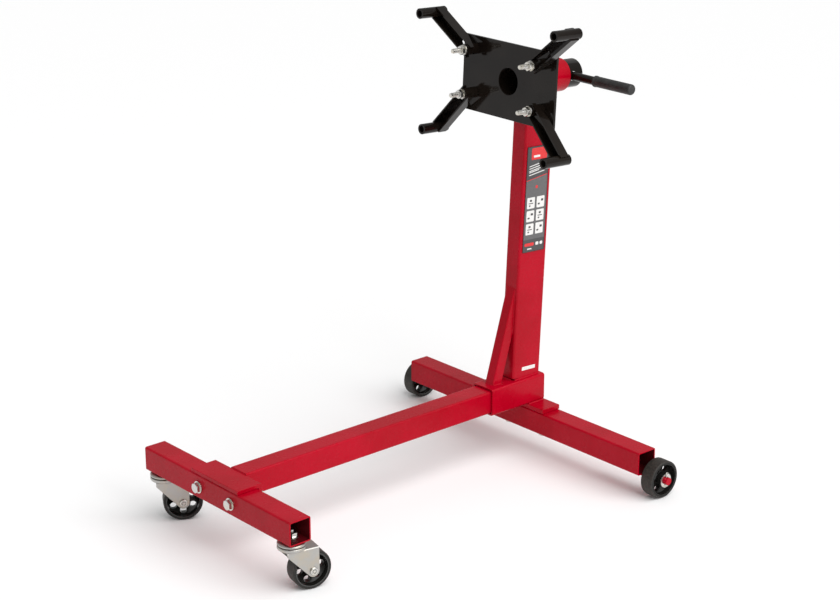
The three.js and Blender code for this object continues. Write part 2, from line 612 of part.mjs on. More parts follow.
function buildHeadTube() {
  const front = plateBack + WELD_GAP;
  const tube = toSolid(roundTubeY(HEAD_TUBE_R, headTubeInnerR, front, headTubeRear, 28));
  const crossHole = rodSolid(HANDLE_R + 1, at(-HEAD_TUBE_R - 1, handleY, 0), at(HEAD_TUBE_R + 1, handleY, 0), 14);
  const middleR = HEAD_TUBE_R - HEAD_TUBE_WALL / 2;
  const lockHoles = Array.from({ length: LOCK_HOLES }, (_, i) => {
    const angle = (i * 2 * Math.PI) / LOCK_HOLES;
    const out = at(Math.cos(angle), 0, Math.sin(angle));
    const [from, to] = [middleR - HEAD_TUBE_WALL * 2, middleR + HEAD_TUBE_WALL * 2];
    return rodSolid(LOCK_PIN_R + 1, out.clone().multiplyScalar(from), out.clone().multiplyScalar(to), 8);
  });
  part('head_tube', cut(tube, crossHole, ...lockHoles), blackPaint, headFrame);
}

// drawn back: its tip waits in the housing's wall, LOCK_TRAVEL short of the fully locked place
function buildLockPin() {
  const tip = -(HEAD_TUBE_R + RUN_GAP);
  const handleX = -(bossEnd + LOCK_TRAVEL + LOCK_PIN_OUT);
  const shaft = rodSolid(LOCK_PIN_R, at(tip, 0, 0), at(handleX, 0, 0));
  const half = LOCK_HANDLE_L / 2;
  const handle = rodSolid(LOCK_HANDLE_R, at(handleX, 0, -half), at(handleX, 0, half));
  part('lock_pin', join(shaft, handle), zinc, headFrame);
}

function buildHandle() {
  const bar = rod(HANDLE_R, at(-handleLeft, handleY, 0), at(handleRight, handleY, 0), 16);
  part('handle_bar', bar, blackPaint, headFrame);
  const inner = HANDLE_R + WELD_GAP;
  const grip = spun([
    [0, 0], [GRIP_R - 2, 0], [GRIP_R, 2], [GRIP_R, GRIP_L], [inner, GRIP_L], [inner, GRIP_END - WELD_GAP],
    [0, GRIP_END - WELD_GAP],
  ], 16);
  aim(part('handle_grip', grip, gripRubber, headFrame), at(handleRight + GRIP_END, handleY, 0), X.clone().negate());
  const stop = ring(STOP_R, inner, 0, STOP_W);
  aim(part('handle_stop', stop, blackPaint, headFrame), at(-handleLeft, handleY, 0), X);
}

// ---------------------------------------------------------------- arms
// a channel open to the front, laid out along +X from its bolt; y = 0 is the back of its web. The web stops short of
// the bolt, and the flanges go on to grip a bush
function armSolid() {
  const web = boxSolid(ARM_L - ARM_WEB_START, ARM_SHEET, armHalfW * 2, (ARM_L + ARM_WEB_START) / 2, -ARM_SHEET / 2, 0);
  const side = new THREE.Shape([[-FLANGE_TIP, -ARM_D], [ARM_L, -ARM_D], [ARM_L, 0], [ARM_WEB_START, 0],
    [-FLANGE_TIP, FLANGE_TIP_D - ARM_D]].map(([x, y]) => new THREE.Vector2(x, y)));
  const flanges = [FINGER_R, -armHalfW].map((z) => toSolid(extrude(side, ARM_SHEET).translate(0, 0, z)));
  const bushR = FINGER_R + BUSH_GRIP;
  const bush = rodSolid(bushR, at(0, ARM_STANDOFF - WELD_GAP, 0), at(0, -ARM_D - BUSH_PAST_FRONT, 0), 16);
  const hole = rodSolid(M10.r + HOLE_GAP, at(0, ARM_STANDOFF + 1, 0), at(0, -ARM_D - BUSH_PAST_FRONT - 1, 0));
  const fingerBed = rodSolid(FINGER_R + WELD_GAP, at(ARM_L, 1, 0), at(ARM_L, -ARM_D - 1, 0), 16);
  return cut(join(web, ...flanges, bush), hole, fingerBed);
}

function buildArms() {
  const channel = toGeometry(armSolid());
  const fingerRear = ARM_STANDOFF - WELD_GAP;
  const finger = roundTubeY(FINGER_R, FINGER_BORE_R, fingerRear - FINGER_L, fingerRear, 16);
  const grip = plateBack - bushFront + WELD_GAP * 2;
  const bolt = boltGeometry(M10, grip + WASHER_T + M10.nut + ARM_THREAD_PAST_NUT);
  const nut = nutGeometry(M10);
  const forwards = Y.clone().negate();
  for (const { name, x, z, angle } of armPlaces) {
    const arm = new THREE.Group();
    arm.position.set(x, webBack, z);
    arm.rotation.y = THREE.MathUtils.degToRad(-angle);
    headFrame.add(arm);
    part(`arm_${name}`, channel, blackPaint, arm);
    part(`finger_${name}`, finger, blackPaint, arm).position.set(ARM_L, 0, 0);
    aim(part(`arm_bolt_${name}`, bolt, zinc, headFrame), at(x, plateBack + WELD_GAP, z), forwards);
    aim(part(`arm_nut_${name}`, nut, zinc, headFrame), at(x, bushFront - WELD_GAP, z), forwards);
  }
}

// ---------------------------------------------------------------- assembly
buildRearCrossbar();
buildFrontCrossbar();
buildLeg();
buildSleeve();
buildSaddlePlate();
buildBracket();
buildBaseFasteners();
buildRearWheels();
buildCasters();
buildMast();
buildLabel();
buildBrace();
buildHousing();
buildPlate();
buildHeadTube();
buildLockPin();
buildHandle();
buildArms();

// the origin is on the floor, under the middle of the whole stand
const engineStand = new THREE.Group();
engineStand.add(stand);
engineStand.updateMatrixWorld(true);
const extent = new THREE.Box3().setFromObject(stand, true);
stand.position.set(0, -(extent.min.y + extent.max.y) / 2, 0);

export default engineStand;
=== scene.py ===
# %% [markdown]
# # An engine stand
# The stand is a T of square steel tube on four small wheels, with a leaning mast at the back and a turning head
# on top. Four swinging arms on the head bolt to an engine block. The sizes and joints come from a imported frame:
# every piece here is made at the place that the frame gives, in metres, and rides on one of its bodies.

# %% Load the frame
import json
from math import atan2, cos, degrees, pi, radians, sin, sqrt, tan

import bpy
from mathutils import Matrix, Vector


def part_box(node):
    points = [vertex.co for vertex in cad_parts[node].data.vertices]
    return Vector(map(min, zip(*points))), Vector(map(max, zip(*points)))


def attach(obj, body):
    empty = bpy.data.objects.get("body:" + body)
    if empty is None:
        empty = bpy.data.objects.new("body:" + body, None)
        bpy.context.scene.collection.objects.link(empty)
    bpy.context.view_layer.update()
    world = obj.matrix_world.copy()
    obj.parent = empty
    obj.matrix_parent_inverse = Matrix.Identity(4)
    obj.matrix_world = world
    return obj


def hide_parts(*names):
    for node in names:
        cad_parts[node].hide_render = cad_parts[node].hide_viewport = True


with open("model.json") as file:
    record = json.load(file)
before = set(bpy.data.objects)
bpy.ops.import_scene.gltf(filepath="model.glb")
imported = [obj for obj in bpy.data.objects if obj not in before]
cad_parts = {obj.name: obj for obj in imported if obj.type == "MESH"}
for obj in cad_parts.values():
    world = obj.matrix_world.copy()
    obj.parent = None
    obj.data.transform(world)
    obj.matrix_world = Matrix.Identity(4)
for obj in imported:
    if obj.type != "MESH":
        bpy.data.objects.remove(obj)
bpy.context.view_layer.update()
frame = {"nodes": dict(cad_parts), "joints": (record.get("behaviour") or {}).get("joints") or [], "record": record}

MM = 0.001
joints = {joint["name"]: joint for joint in frame["joints"]}

# %% [markdown]
# ## Frames of reference
# The mast leans back, and the head is square to the mast. So most pieces are easiest to make upright, in the
# mast's or the head's own axes, and to set down afterwards with one matrix. The head's hinge gives both: its axis
# is the head's forward direction, and the mast runs straight down from its centre to the sleeve.

# %% Frames from the joints
X_AXIS = Vector((1, 0, 0))
head_at = Vector(joints["head_turn"]["pos_m"])
back = -Vector(joints["head_turn"]["axis"])
up = X_AXIS.cross(back)
lean = atan2(-back.z, back.y)
upright = Matrix((X_AXIS, back, up)).transposed().to_4x4()
head_frame = Matrix.Translation(head_at) @ upright
foot_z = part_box("mast")[0].z
mast_length = (head_at.z - foot_z) / up.z
mast_frame = Matrix.Translation(head_at - up * mast_length) @ upright
print(f"lean {degrees(lean):.2f} degrees, mast {mast_length:.4f} m to the head's axis")


def span(node, axes=Matrix.Identity(4)):
    """lowest and highest corner of a CAD node along the axes of a frame"""
    into = axes.inverted()
    corners = [into @ vertex.co for vertex in frame["nodes"][node].data.vertices]
    return Vector(map(min, zip(*corners))), Vector(map(max, zip(*corners)))


# %% [markdown]
# ## Working by hand
# Blender's operators act on whatever is selected, so each step here first clears the selection, then picks faces or
# edges by their direction or place, and only then extrudes, insets or bevels. These few helpers do that picking.

# %% Picking and starting
def take(piece):
    bpy.ops.object.select_all(action="DESELECT")
    piece.select_set(True)
    bpy.context.view_layer.objects.active = piece


def open_piece(piece, mode):
    """goes into edit mode with nothing selected"""
    take(piece)
    bpy.ops.object.mode_set(mode="EDIT")
    bpy.ops.mesh.select_mode(type=mode)
    bpy.ops.mesh.select_all(action="DESELECT")
    bpy.ops.object.mode_set(mode="OBJECT")


def pick_faces(piece, wanted):
    open_piece(piece, "FACE")
    for face in piece.data.polygons:
        face.select = wanted(face)
    bpy.ops.object.mode_set(mode="EDIT")


def pick_edges(piece, wanted):
    open_piece(piece, "EDGE")
    points = piece.data.vertices
    for edge in piece.data.edges:
        first, second = (points[index].co for index in edge.vertices)
        edge.select = wanted(first, second)
    bpy.ops.object.mode_set(mode="EDIT")


def close():
    bpy.ops.object.mode_set(mode="OBJECT")


def settle(piece):
    """puts a piece's place into its mesh, so that its object sits at the origin"""
    take(piece)
    bpy.ops.object.transform_apply(location=True, rotation=True, scale=True)


def named(name):
    piece = bpy.context.active_object
    piece.name = piece.data.name = name
    settle(piece)
    return piece


def block(name, low, high):
    low, high = Vector(low), Vector(high)
    bpy.ops.object.select_all(action="DESELECT")
    bpy.ops.mesh.primitive_cube_add(size=1, location=(low + high) / 2, scale=high - low)
    return named(name)


TURNS = {"X": (0, pi / 2, 0), "Y": (pi / 2, 0, 0), "Z": (0, 0, 0)}


def bar(name, radius, low, high, along="Z", centre=(0, 0, 0), sides=48):
    """a cylinder along an axis, from low to high on that axis"""
    place = Vector(centre)
    place["XYZ".index(along)] += (low + high) / 2
    bpy.ops.object.select_all(action="DESELECT")
    bpy.ops.mesh.primitive_cylinder_add(
        vertices=sides, radius=radius, depth=high - low, location=place, rotation=TURNS[along])
    return named(name)


def push(x=0, y=0, z=0):
    bpy.ops.mesh.extrude_region_move(TRANSFORM_OT_translate={"value": (x, y, z)})


def bevel(offset, segments):
    """rounds what is picked off, and leaves the piece"""
    bpy.ops.mesh.bevel(offset=offset, segments=segments, affect="EDGES")
    close()


# %% Modifiers, cuts and copies
def apply(piece, kind, **settings):
    take(piece)
    bpy.ops.object.modifier_add(type=kind)
    modifier = piece.modifiers[-1]
    for setting, value in settings.items():
        setattr(modifier, setting, value)
    bpy.ops.object.modifier_apply(modifier=modifier.name)


def carve(piece, *tools, how="DIFFERENCE"):
    """cuts, joins or intersects with each tool in turn, and throws the tools away"""
    for tool in tools:
        apply(piece, "BOOLEAN", object=tool, operation=how, solver="EXACT")
        bpy.data.objects.remove(tool)


def soften(piece, width=0.5 * MM, segments=2, sharp=30):
    """breaks the sharp edges, and shades flats flat and rounds round"""
    apply(piece, "BEVEL", width=width, segments=segments, limit_method="ANGLE", angle_limit=radians(sharp),
          use_clamp_overlap=True)
    shade(piece)


def shade(piece, angle=38):
    take(piece)
    bpy.ops.object.shade_smooth_by_angle(angle=radians(angle))
    apply(piece, "WEIGHTED_NORMAL", mode="FACE_AREA", keep_sharp=True)


def gather(name, pieces):
    bpy.ops.object.select_all(action="DESELECT")
    for piece in pieces:
        piece.select_set(True)
    bpy.context.view_layer.objects.active = pieces[0]
    if len(pieces) > 1:
        bpy.ops.object.join()
    pieces[0].name = pieces[0].data.name = name
    return pieces[0]


def copy_to(master, name, place):
    """a copy with its own mesh, set down by a matrix"""
    take(master)
    bpy.ops.object.duplicate()
    piece = bpy.context.active_object
    piece.matrix_world = place
    piece.name = piece.data.name = name
    settle(piece)
    return piece


def move_to(piece, place):
    piece.matrix_world = place
    settle(piece)
    return piece


# %% [markdown]
# ## Shader maths that reads like arithmetic
# A procedural finish is mostly sums: a noise times a strength plus a base value. `Amount` wraps a socket so that
# Python's own operators add the Math nodes, and `Finish` adds any other node from its type, settings and sockets.

# %% Amount and Finish
class Amount:
    def __init__(self, finish, socket):
        self.finish, self.socket = finish, socket

    def maths(self, operation, other):
        node = self.finish.node("ShaderNodeMath", {"operation": operation}, {0: self, 1: other})
        return Amount(self.finish, node.outputs[0])

    def __add__(self, other):
        return self.maths("ADD", other)

    def __mul__(self, other):
        return self.maths("MULTIPLY", other)

    __radd__, __rmul__ = __add__, __mul__

    def between(self, low, high):
        """0 at low and below, 1 at high and above, smooth in between"""
        node = self.finish.node(
            "ShaderNodeMapRange", {"interpolation_type": "SMOOTHSTEP"}, {"Value": self, 1: low, 2: high})
        return Amount(self.finish, node.outputs[0])


class Finish:
    """one procedural material, named for the surface it gives or for the painted shade it stands for"""

    def __init__(self, name, **uniform):
        self.material = bpy.data.materials.new(name)
        self.material.use_nodes = True
        self.tree = self.material.node_tree
        self.shader = self.tree.nodes["Principled BSDF"]
        self.place = self.node("ShaderNodeTexCoord").outputs["Object"]
        for socket, value in uniform.items():
            self.shader.inputs[socket.replace("_", " ")].default_value = value

    def node(self, kind, settings=None, sockets=None):
        node = self.tree.nodes.new(kind)
        for setting, value in (settings or {}).items():
            setattr(node, setting, value)
        for socket, value in (sockets or {}).items():
            self.feed(node.inputs[socket], value)
        return node

    def feed(self, socket, value):
        value = value.socket if isinstance(value, Amount) else value
        if isinstance(value, bpy.types.NodeSocket):
            self.tree.links.new(value, socket)
        else:
            socket.default_value = value

    def noise(self, scale, detail=2.0, roughness=0.5, stretch=(1, 1, 1), about=(0, 0, 0)):
        """cloudy values about 0.5; scale is in cells to the metre"""
        mapped = self.node("ShaderNodeMapping", {}, {"Vector": self.place, "Location": about, "Scale": stretch})
        node = self.node("ShaderNodeTexNoise", {}, {
            "Vector": mapped.outputs[0], "Scale": scale, "Detail": detail, "Roughness": roughness})
        return Amount(self, node.outputs["Fac"])

    def blend(self, factor, first, second):
        node = self.node("ShaderNodeMix", {"data_type": "RGBA"}, {0: factor, 6: (*first, 1), 7: (*second, 1)})
        return node.outputs[2]

    def radius(self, centre, axis):
        """distance of each point from a line"""
        off = self.node("ShaderNodeVectorMath", {"operation": "SUBTRACT"}, {0: self.place, 1: tuple(centre)})
        turned = self.node("ShaderNodeVectorMath", {"operation": "CROSS_PRODUCT"},
                           {0: off.outputs[0], 1: tuple(axis)})
        length = self.node("ShaderNodeVectorMath", {"operation": "LENGTH"}, {0: turned.outputs[0]})
        return Amount(self, length.outputs["Value"])

    def bump(self, height, strength, distance):
        node = self.node("ShaderNodeBump", {}, {"Strength": strength, "Distance": distance, "Height": height})
        self.feed(self.shader.inputs["Normal"], node.outputs[0])

    def set(self, **changing):
        for socket, value in changing.items():
            self.feed(self.shader.inputs[socket.replace("_", " ")], value)
        return self.material


# %% [markdown]
# ## Red powder coat
# The tubes are powder coated: a thick glossy skin with a faint orange peel, a little deeper in tone where it pooled.
# It could be one flat red with a clear coat, but then long tubes look like plastic. Two noises give the peel and the
# slow drift in tone, and a third one dulls the gloss in patches, as fingers and dust do. The inside of a tube gets a
# dark, dull red of its own: painted shade, for little light reaches in there.

# %% Red and black paint
RED_DEEP, RED_BRIGHT = (0.36, 0.0, 0.009), (0.42, 0.0, 0.013)
BLACK_DEEP, BLACK_WORN = (0.006, 0.004, 0.003), (0.011, 0.008, 0.006)
# two very dark reds: painted shade for the inside of a tube
SHADE_INSIDE_DARKEST, SHADE_INSIDE_DARK = (0.030, 0.002, 0.003), (0.095, 0.003, 0.006)
PEEL = 420  # cells to the metre


def paint(name, deep, bright, gloss, clear, sheen):
    finish = Finish(name, Specular_IOR_Level=sheen, Coat_Roughness=0.06)
    drift = finish.noise(9, detail=3)
    patches = finish.noise(34, detail=4, roughness=0.6)
    peel = finish.noise(PEEL, detail=1)
    specks = finish.noise(2600, detail=0)
    finish.bump(peel + specks * 0.15, 0.10, 0.6 * MM)
    return finish.set(
        Base_Color=finish.blend(drift.between(0.35, 0.65), deep, bright),
        Roughness=patches * 0.14 + gloss,
        Coat_Weight=patches.between(0.2, 0.5) * 0.06 + clear)


red_paint = paint("red_powder_coat", RED_DEEP, RED_BRIGHT, gloss=0.20, clear=0.0, sheen=0.10)
black_paint = paint("black_enamel", BLACK_DEEP, BLACK_WORN, gloss=0.05, clear=0.03, sheen=0.16)
# painted shade: the inside of a tube in a dark, dull red
inside_shade_paint = paint("overspray_on_steel", SHADE_INSIDE_DARKEST, SHADE_INSIDE_DARK, gloss=0.42, clear=0.0, sheen=0.06)
print("paints:", red_paint.name, black_paint.name, inside_shade_paint.name)

# %% [markdown]
# ## Zinc plating
# Bolts, nuts, caster forks and races are zinc plated and passivated. Fresh zinc is silver with a faint straw and blue
# bloom, and the pressed sheet keeps fine lines from rolling. The bloom is a slow noise between two tints of metal.

# %% Zinc
SHEET_COOL, SHEET_STRAW = (0.44, 0.43, 0.41), (0.47, 0.43, 0.37)
BOLT_COOL, BOLT_STRAW = (0.62, 0.61, 0.59), (0.64, 0.61, 0.54)


def zinc(name, cool, straw, grain, roughness):
    finish = Finish(name, Metallic=1.0)
    bloom = finish.noise(42, detail=3, roughness=0.6)
    lines = finish.noise(700, detail=2, stretch=grain)
    spangle = finish.noise(160, detail=1)
    finish.bump(lines, 0.12, 0.2 * MM)
    return finish.set(
        Base_Color=finish.blend(bloom.between(0.40, 0.66), cool, straw),
        Roughness=lines * 0.16 + spangle * 0.10 + roughness)


zinc_sheet = zinc("zinc_plated_sheet", SHEET_COOL, SHEET_STRAW, grain=(1, 1, 0.06), roughness=0.24)
zinc_fastener = zinc("zinc_plated_fastener", BOLT_COOL, BOLT_STRAW, grain=(1, 1, 1), roughness=0.12)
print("zinc:", zinc_sheet.name, zinc_fastener.name)

# %% [markdown]
# ## Wheels, grip and printed film
# The wheels are moulded black plastic. A used tread is greyer and rougher than the web beside it, so each wheel's
# material measures how far a point is from its own axle and changes there. The grip is a soft dipped vinyl with a
# fine grain, and the label is printed film, satin and very flat.

# %% Plastics and film
PLASTIC, TREAD_DUST = (0.012, 0.011, 0.010), (0.050, 0.041, 0.034)


def wheel_plastic(name, centre, axis, tread):
    finish = Finish(name, Specular_IOR_Level=0.3)
    reach = finish.radius(centre, axis)
    scuffs = finish.noise(240, detail=5, roughness=0.7)
    worn = reach.between(tread - 3 * MM, tread - 0.4 * MM)
    dusty = worn * scuffs.between(0.25, 0.75)
    fine = finish.noise(1500, detail=2)
    finish.bump(fine + scuffs * worn, 0.14, 0.4 * MM)
    return finish.set(
        Base_Color=finish.blend(dusty, PLASTIC, TREAD_DUST),
        Roughness=worn * 0.30 + scuffs * 0.12 + 0.18)


def grip_vinyl():
    finish = Finish("grip_vinyl", Coat_Weight=0.0)
    grain = finish.noise(1900, detail=2)
    smear = finish.noise(60, detail=3)
    finish.bump(grain, 0.35, 0.3 * MM)
    return finish.set(
        Base_Color=finish.blend(smear.between(0.4, 0.7), (0.016, 0.016, 0.016), (0.030, 0.029, 0.028)),
        Roughness=smear * 0.2 + 0.42)


def film(name, colour, darker):
    finish = Finish(name)
    mottle = finish.noise(300, detail=3)
    finish.bump(mottle, 0.05, 0.1 * MM)
    return finish.set(
        Base_Color=finish.blend(mottle.between(0.3, 0.7), colour, darker), Roughness=mottle * 0.1 + 0.28)


grip_finish = grip_vinyl()
film_grey = film("film_grey", (0.055, 0.053, 0.054), (0.048, 0.046, 0.047))
film_slate = film("film_slate", (0.115, 0.112, 0.113), (0.100, 0.098, 0.099))
film_red = film("film_red", (0.70, 0.020, 0.022), (0.62, 0.016, 0.018))
film_white = film("film_white", (0.78, 0.77, 0.75), (0.70, 0.69, 0.67))
print("films:", film_grey.name, film_slate.name, film_red.name, film_white.name)

# %% [markdown]
# ## Handing a piece over
# A finished piece takes the place of the plain CAD node it was made for: it rides on that node's body and the node is
# hidden. Extra pieces that the frame has no node for, such as weld beads, ride on a body by name.

# %% Handing over
body_of_node = {node: body for body, nodes in frame["record"]["behaviour"]["bodies"].items() for node in nodes}
slot_of_node = {row["node"]: row["material_slot"] for row in frame["record"]["subparts"]}


def dress(piece, body, slot, *materials):
    piece.data.materials.clear()
    for material in materials:
        piece.data.materials.append(material)
    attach(piece, body)


def stand_in(piece, node, material):
    piece.name = piece.data.name = node + "_fine"
    dress(piece, body_of_node[node], slot_of_node[node], material)
    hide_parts(node)


# %% [markdown]
# ## Square tube
# Structural tube is rolled from strip, so its corners are round outside and inside and its ends are sawn square. A
# rounded box would be solid; instead the end faces are deleted, the long edges bevelled, and Solidify gives the wall.

# %% The base tubes
TUBE_WALL, TUBE_CORNER = 3 * MM, 4 * MM
SLEEVE_WALL = 4 * MM


def open_tube(name, low, high, along, corner):
    low, high = Vector(low), Vector(high)
    piece = block(name, low, high)
    pick_faces(piece, lambda face: abs(face.normal[along]) > 0.9)
    bpy.ops.mesh.delete(type="ONLY_FACE")
    close()
    long_enough = (high - low)[along] * 0.9
    pick_edges(piece, lambda a, b: abs((b - a)[along]) > long_enough)
    bevel(corner, 6)
    return piece


def thicken(piece, wall):
    apply(piece, "SOLIDIFY", thickness=wall, offset=-1, use_even_offset=True)


def line_inside(tube, low, high, along, wall, material):
    """gives a tube's inner faces a material of their own"""
    across = [axis for axis in range(3) if axis != along]
    tube.data.materials.append(material)
    pick_faces(tube, lambda face: abs(face.normal[along]) < 0.5 and all(
        low[axis] + wall / 2 < face.center[axis] < high[axis] - wall / 2 for axis in across))
    tube.active_material_index = 1
    bpy.ops.object.material_slot_assign()
    close()


base_tubes = {
    "rear_crossbar": (0, TUBE_WALL, TUBE_CORNER),
    "front_crossbar": (0, TUBE_WALL, TUBE_CORNER),
    "main_leg": (1, TUBE_WALL, TUBE_CORNER),
    "leg_sleeve": (1, SLEEVE_WALL, TUBE_CORNER + 1 * MM),
}
for node, (along, wall, corner) in base_tubes.items():
    tube = open_tube(node, *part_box(node), along, corner)
    thicken(tube, wall)
    soften(tube)
    stand_in(tube, node, red_paint)
    # the inner faces get the dark red of painted shade
    line_inside(tube, *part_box(node), along, wall, inside_shade_paint)
print("tubes:", ", ".join(base_tubes))

# %% [markdown]
# ## Plates of the base
# The saddle plate is flat bar, and the bracket is angle iron: its top leaf lies on the front crossbar and its upright
# leaf stands behind it. The angle starts as the upright leaf; the top of its front face is split off and pushed out.

# %% Saddle and bracket
BRACKET_LEAF = 8 * MM

saddle = block("saddle", *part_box("saddle_plate"))
soften(saddle, 0.9 * MM, 3)
stand_in(saddle, "saddle_plate", red_paint)

low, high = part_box("leg_bracket")
bracket = block("bracket", (low.x, high.y - BRACKET_LEAF, low.z), high)
pick_faces(bracket, lambda face: True)
bpy.ops.mesh.bisect(plane_co=(0, 0, high.z - BRACKET_LEAF), plane_no=(0, 0, 1))
close()
pick_faces(bracket, lambda face: face.normal.y < -0.9 and face.center.z > high.z - BRACKET_LEAF)
push(y=low.y - (high.y - BRACKET_LEAF))
close()
soften(bracket, 0.8 * MM, 3)
stand_in(bracket, "leg_bracket", red_paint)
print("bracket faces:", len(bracket.data.polygons))

# %% [markdown]
# ## Mast and brace
# Both are tubes that end on a slant. The mast stands on the sleeve with its foot cut level, and its top is coped to
# cradle the round housing. The brace leans against the mast. Bisect makes the slanted cuts on the bare shell, before
# the wall is there, and the cope is a cylinder taken away.

# %% Mast and brace
MAST_WALL, MAST_CORNER, BRACE_WALL = 3 * MM, 5 * MM, 2.5 * MM
BRACE_LEAN = radians(16.4)
GAP = 0.3 * MM
HOLE_GAP = 0.35 * MM  # radial, round a bolt or an axle


def slice_off(piece, point, normal, fill=False):
    """throws away what lies on the far side of a plane, the side its normal points to"""
    pick_faces(piece, lambda face: True)
    bpy.ops.mesh.bisect(plane_co=point, plane_no=normal, clear_outer=True, use_fill=fill)
    close()


housing_low, housing_high = span("head_housing", head_frame)
housing_r = housing_high.x
low, high = span("mast", mast_frame)
mast_half_w, mast_half_d = high.x, high.y
mast = open_tube("mast_tube", (low.x, low.y, -0.02), (high.x, high.y, mast_length), 2, MAST_CORNER)
slice_off(mast, (0, 0, 0), (0, -sin(lean), -cos(lean)))
thicken(mast, MAST_WALL)
carve(mast, bar("cope", housing_r + GAP, -0.2, 0.2, "Y", (0, 0, mast_length), 96))
soften(mast)
stand_in(move_to(mast, mast_frame), "mast", red_paint)

low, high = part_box("mast_brace")
brace_w = high.x - low.x
brace_foot = Vector((0, low.y, low.z))
brace_frame = Matrix.Translation(brace_foot) @ Matrix.Rotation(-BRACE_LEAN, 4, "X")
brace = open_tube("brace", (low.x, 0, -brace_w), (high.x, brace_w, high.z), 2, BRACE_WALL)
move_to(brace, brace_frame)
slice_off(brace, brace_foot, (0, 0, -1))
slice_off(brace, mast_frame @ Vector((0, -mast_half_d - GAP, 0)), back)
thicken(brace, BRACE_WALL)
soften(brace, 0.4 * MM)
stand_in(brace, "mast_brace", red_paint)
print("mast and brace made")

# %% [markdown]
# ## Hex bolts and nuts
# A hex head is turned on a lathe as well as milled, so its corners are cut by a cone. Six sides alone look cut from
# card. Here a six-sided bar is intersected with a cone, as the lathe tool does it, and the thread is a real helix: a
# small triangle wound round the core by the Screw modifier.

# %% Hex, thread and washer
CHAMFER_SLOPE = radians(30)
PITCH = 1.6 * MM
WASHER_T = 2.5 * MM
M12 = {"r": 6 * MM, "flats": 19 * MM, "head": 7.5 * MM, "nut": 10 * MM, "washer": 12.5 * MM}
M10 = {"r": 5 * MM, "flats": 17 * MM, "head": 6.5 * MM, "nut": 8.5 * MM, "washer": 10.5 * MM}


def hexagon(flats, low, high, turned_ends):
    """hex bar along Z; turned_ends lists the ends that a cone has chamfered, -1 and 1"""
    piece = bar("hexagon", flats / sqrt(3), low, high, sides=6)
    height = high - low
    for end in turned_ends:
        small = flats * 0.475
        wide = small + height / tan(CHAMFER_SLOPE)
        radii = (wide, small) if end > 0 else (small, wide)
        bpy.ops.object.select_all(action="DESELECT")
        bpy.ops.mesh.primitive_cone_add(
            vertices=48, radius1=radii[0], radius2=radii[1], depth=height, location=(0, 0, (low + high) / 2))
        carve(piece, named("lathe_cone"), how="INTERSECT")
    return piece


def washer(outer, inner, low, high):
    piece = bar("washer", outer, low, high, sides=48)
    carve(piece, bar("washer_hole", inner, low - MM, high + MM, sides=32))
    return piece


def thread(radius, low, high):
    """a core with a chamfered tip, and a helical ridge wound round it"""
    height = PITCH / sqrt(3)
    core = bar("core", radius - 0.6 * height, low, high, sides=24)
    pick_faces(core, lambda face: face.normal.z > 0.9)
    bevel(height, 1)
    bpy.ops.object.select_all(action="DESELECT")
    bpy.ops.mesh.primitive_circle_add(
        vertices=3, radius=height, rotation=(pi / 2, pi / 2, 0), location=(radius - height, 0, low))
    ridge = named("ridge")
    turns = int((high - low - 1.2 * PITCH) / PITCH)
    apply(ridge, "SCREW", axis="Z", angle=2 * pi, screw_offset=PITCH, iterations=turns, steps=20,
          render_steps=20, use_merge_vertices=True)
    pick_faces(ridge, lambda face: True)
    bpy.ops.mesh.fill_holes(sides=3)
    bpy.ops.mesh.select_all(action="SELECT")
    bpy.ops.mesh.normals_make_consistent(inside=False)
    close()
    return [core, ridge]


def hex_bolt(name, size, length, threaded):
    """z = 0 is the face it is tightened against; the head is below and the thread above"""
    head = hexagon(size["flats"], -WASHER_T - size["head"], -WASHER_T, (-1,))
    soften(head, 0.25 * MM, 1)
    flat_washer = washer(size["washer"], size["r"], -WASHER_T, 0)
    soften(flat_washer, 0.3 * MM, 2)
    shank = bar("shank", size["r"] - 0.05 * MM, -WASHER_T, length - threaded, sides=32)
    shade(shank)
    core, ridge = thread(size["r"], length - threaded, length)
    shade(core)
    shade(ridge, 70)
    return gather(name, [head, flat_washer, shank, core, ridge])


def hex_nut(name, size):
    top = WASHER_T + size["nut"]
    body = hexagon(size["flats"], WASHER_T, top, (-1, 1))
    carve(body, bar("nut_hole", size["r"] + 0.1 * MM, 0, top + MM, sides=32))
    soften(body, 0.25 * MM, 1)
    flat_washer = washer(size["washer"], size["r"] + 0.1 * MM, 0, WASHER_T)
    soften(flat_washer, 0.3 * MM, 2)
    return gather(name, [body, flat_washer])


def facing(place, direction):
    """frame with +Z along a direction"""
    return Matrix.Translation(place) @ Vector((0, 0, 1)).rotation_difference(Vector(direction)).to_matrix().to_4x4()


# %% Fasteners of the base
def middle(node):
    low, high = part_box(node)
    return (low + high) / 2


leg_bolt_low, leg_bolt_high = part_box("leg_bolt_left")
leg_bolt_length = leg_bolt_high.y - leg_bolt_low.y - WASHER_T - M12["head"]
bolt_master = hex_bolt("leg_bolt", M12, leg_bolt_length, 24 * MM)
nut_master = hex_nut("leg_nut", M12)
saddle_low, saddle_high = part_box("saddle_bolt_left")
saddle_master = hex_bolt("saddle_bolt", M12, saddle_high.z - saddle_low.z - WASHER_T - M12["head"], 20 * MM)
lock_low, lock_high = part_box("leg_lock_bolt")
lock_master = hex_bolt("lock_bolt", M12, lock_high.z - lock_low.z - WASHER_T - M12["head"], 12 * MM)
for side in ("left", "right"):
    at = middle(f"leg_bolt_{side}")
    seat = Vector((at.x, leg_bolt_low.y + M12["head"] + WASHER_T, at.z))
    stand_in(copy_to(bolt_master, "bolt", facing(seat, (0, 1, 0))), f"leg_bolt_{side}", zinc_fastener)
    at = middle(f"leg_nut_{side}")
    seat = Vector((at.x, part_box(f"leg_nut_{side}")[0].y, at.z))
    stand_in(copy_to(nut_master, "nut", facing(seat, (0, 1, 0))), f"leg_nut_{side}", zinc_fastener)
    at = middle(f"saddle_bolt_{side}")
    seat = Vector((at.x, at.y, saddle_low.z + M12["head"] + WASHER_T))
    stand_in(copy_to(saddle_master, "bolt", Matrix.Translation(seat)), f"saddle_bolt_{side}", zinc_fastener)
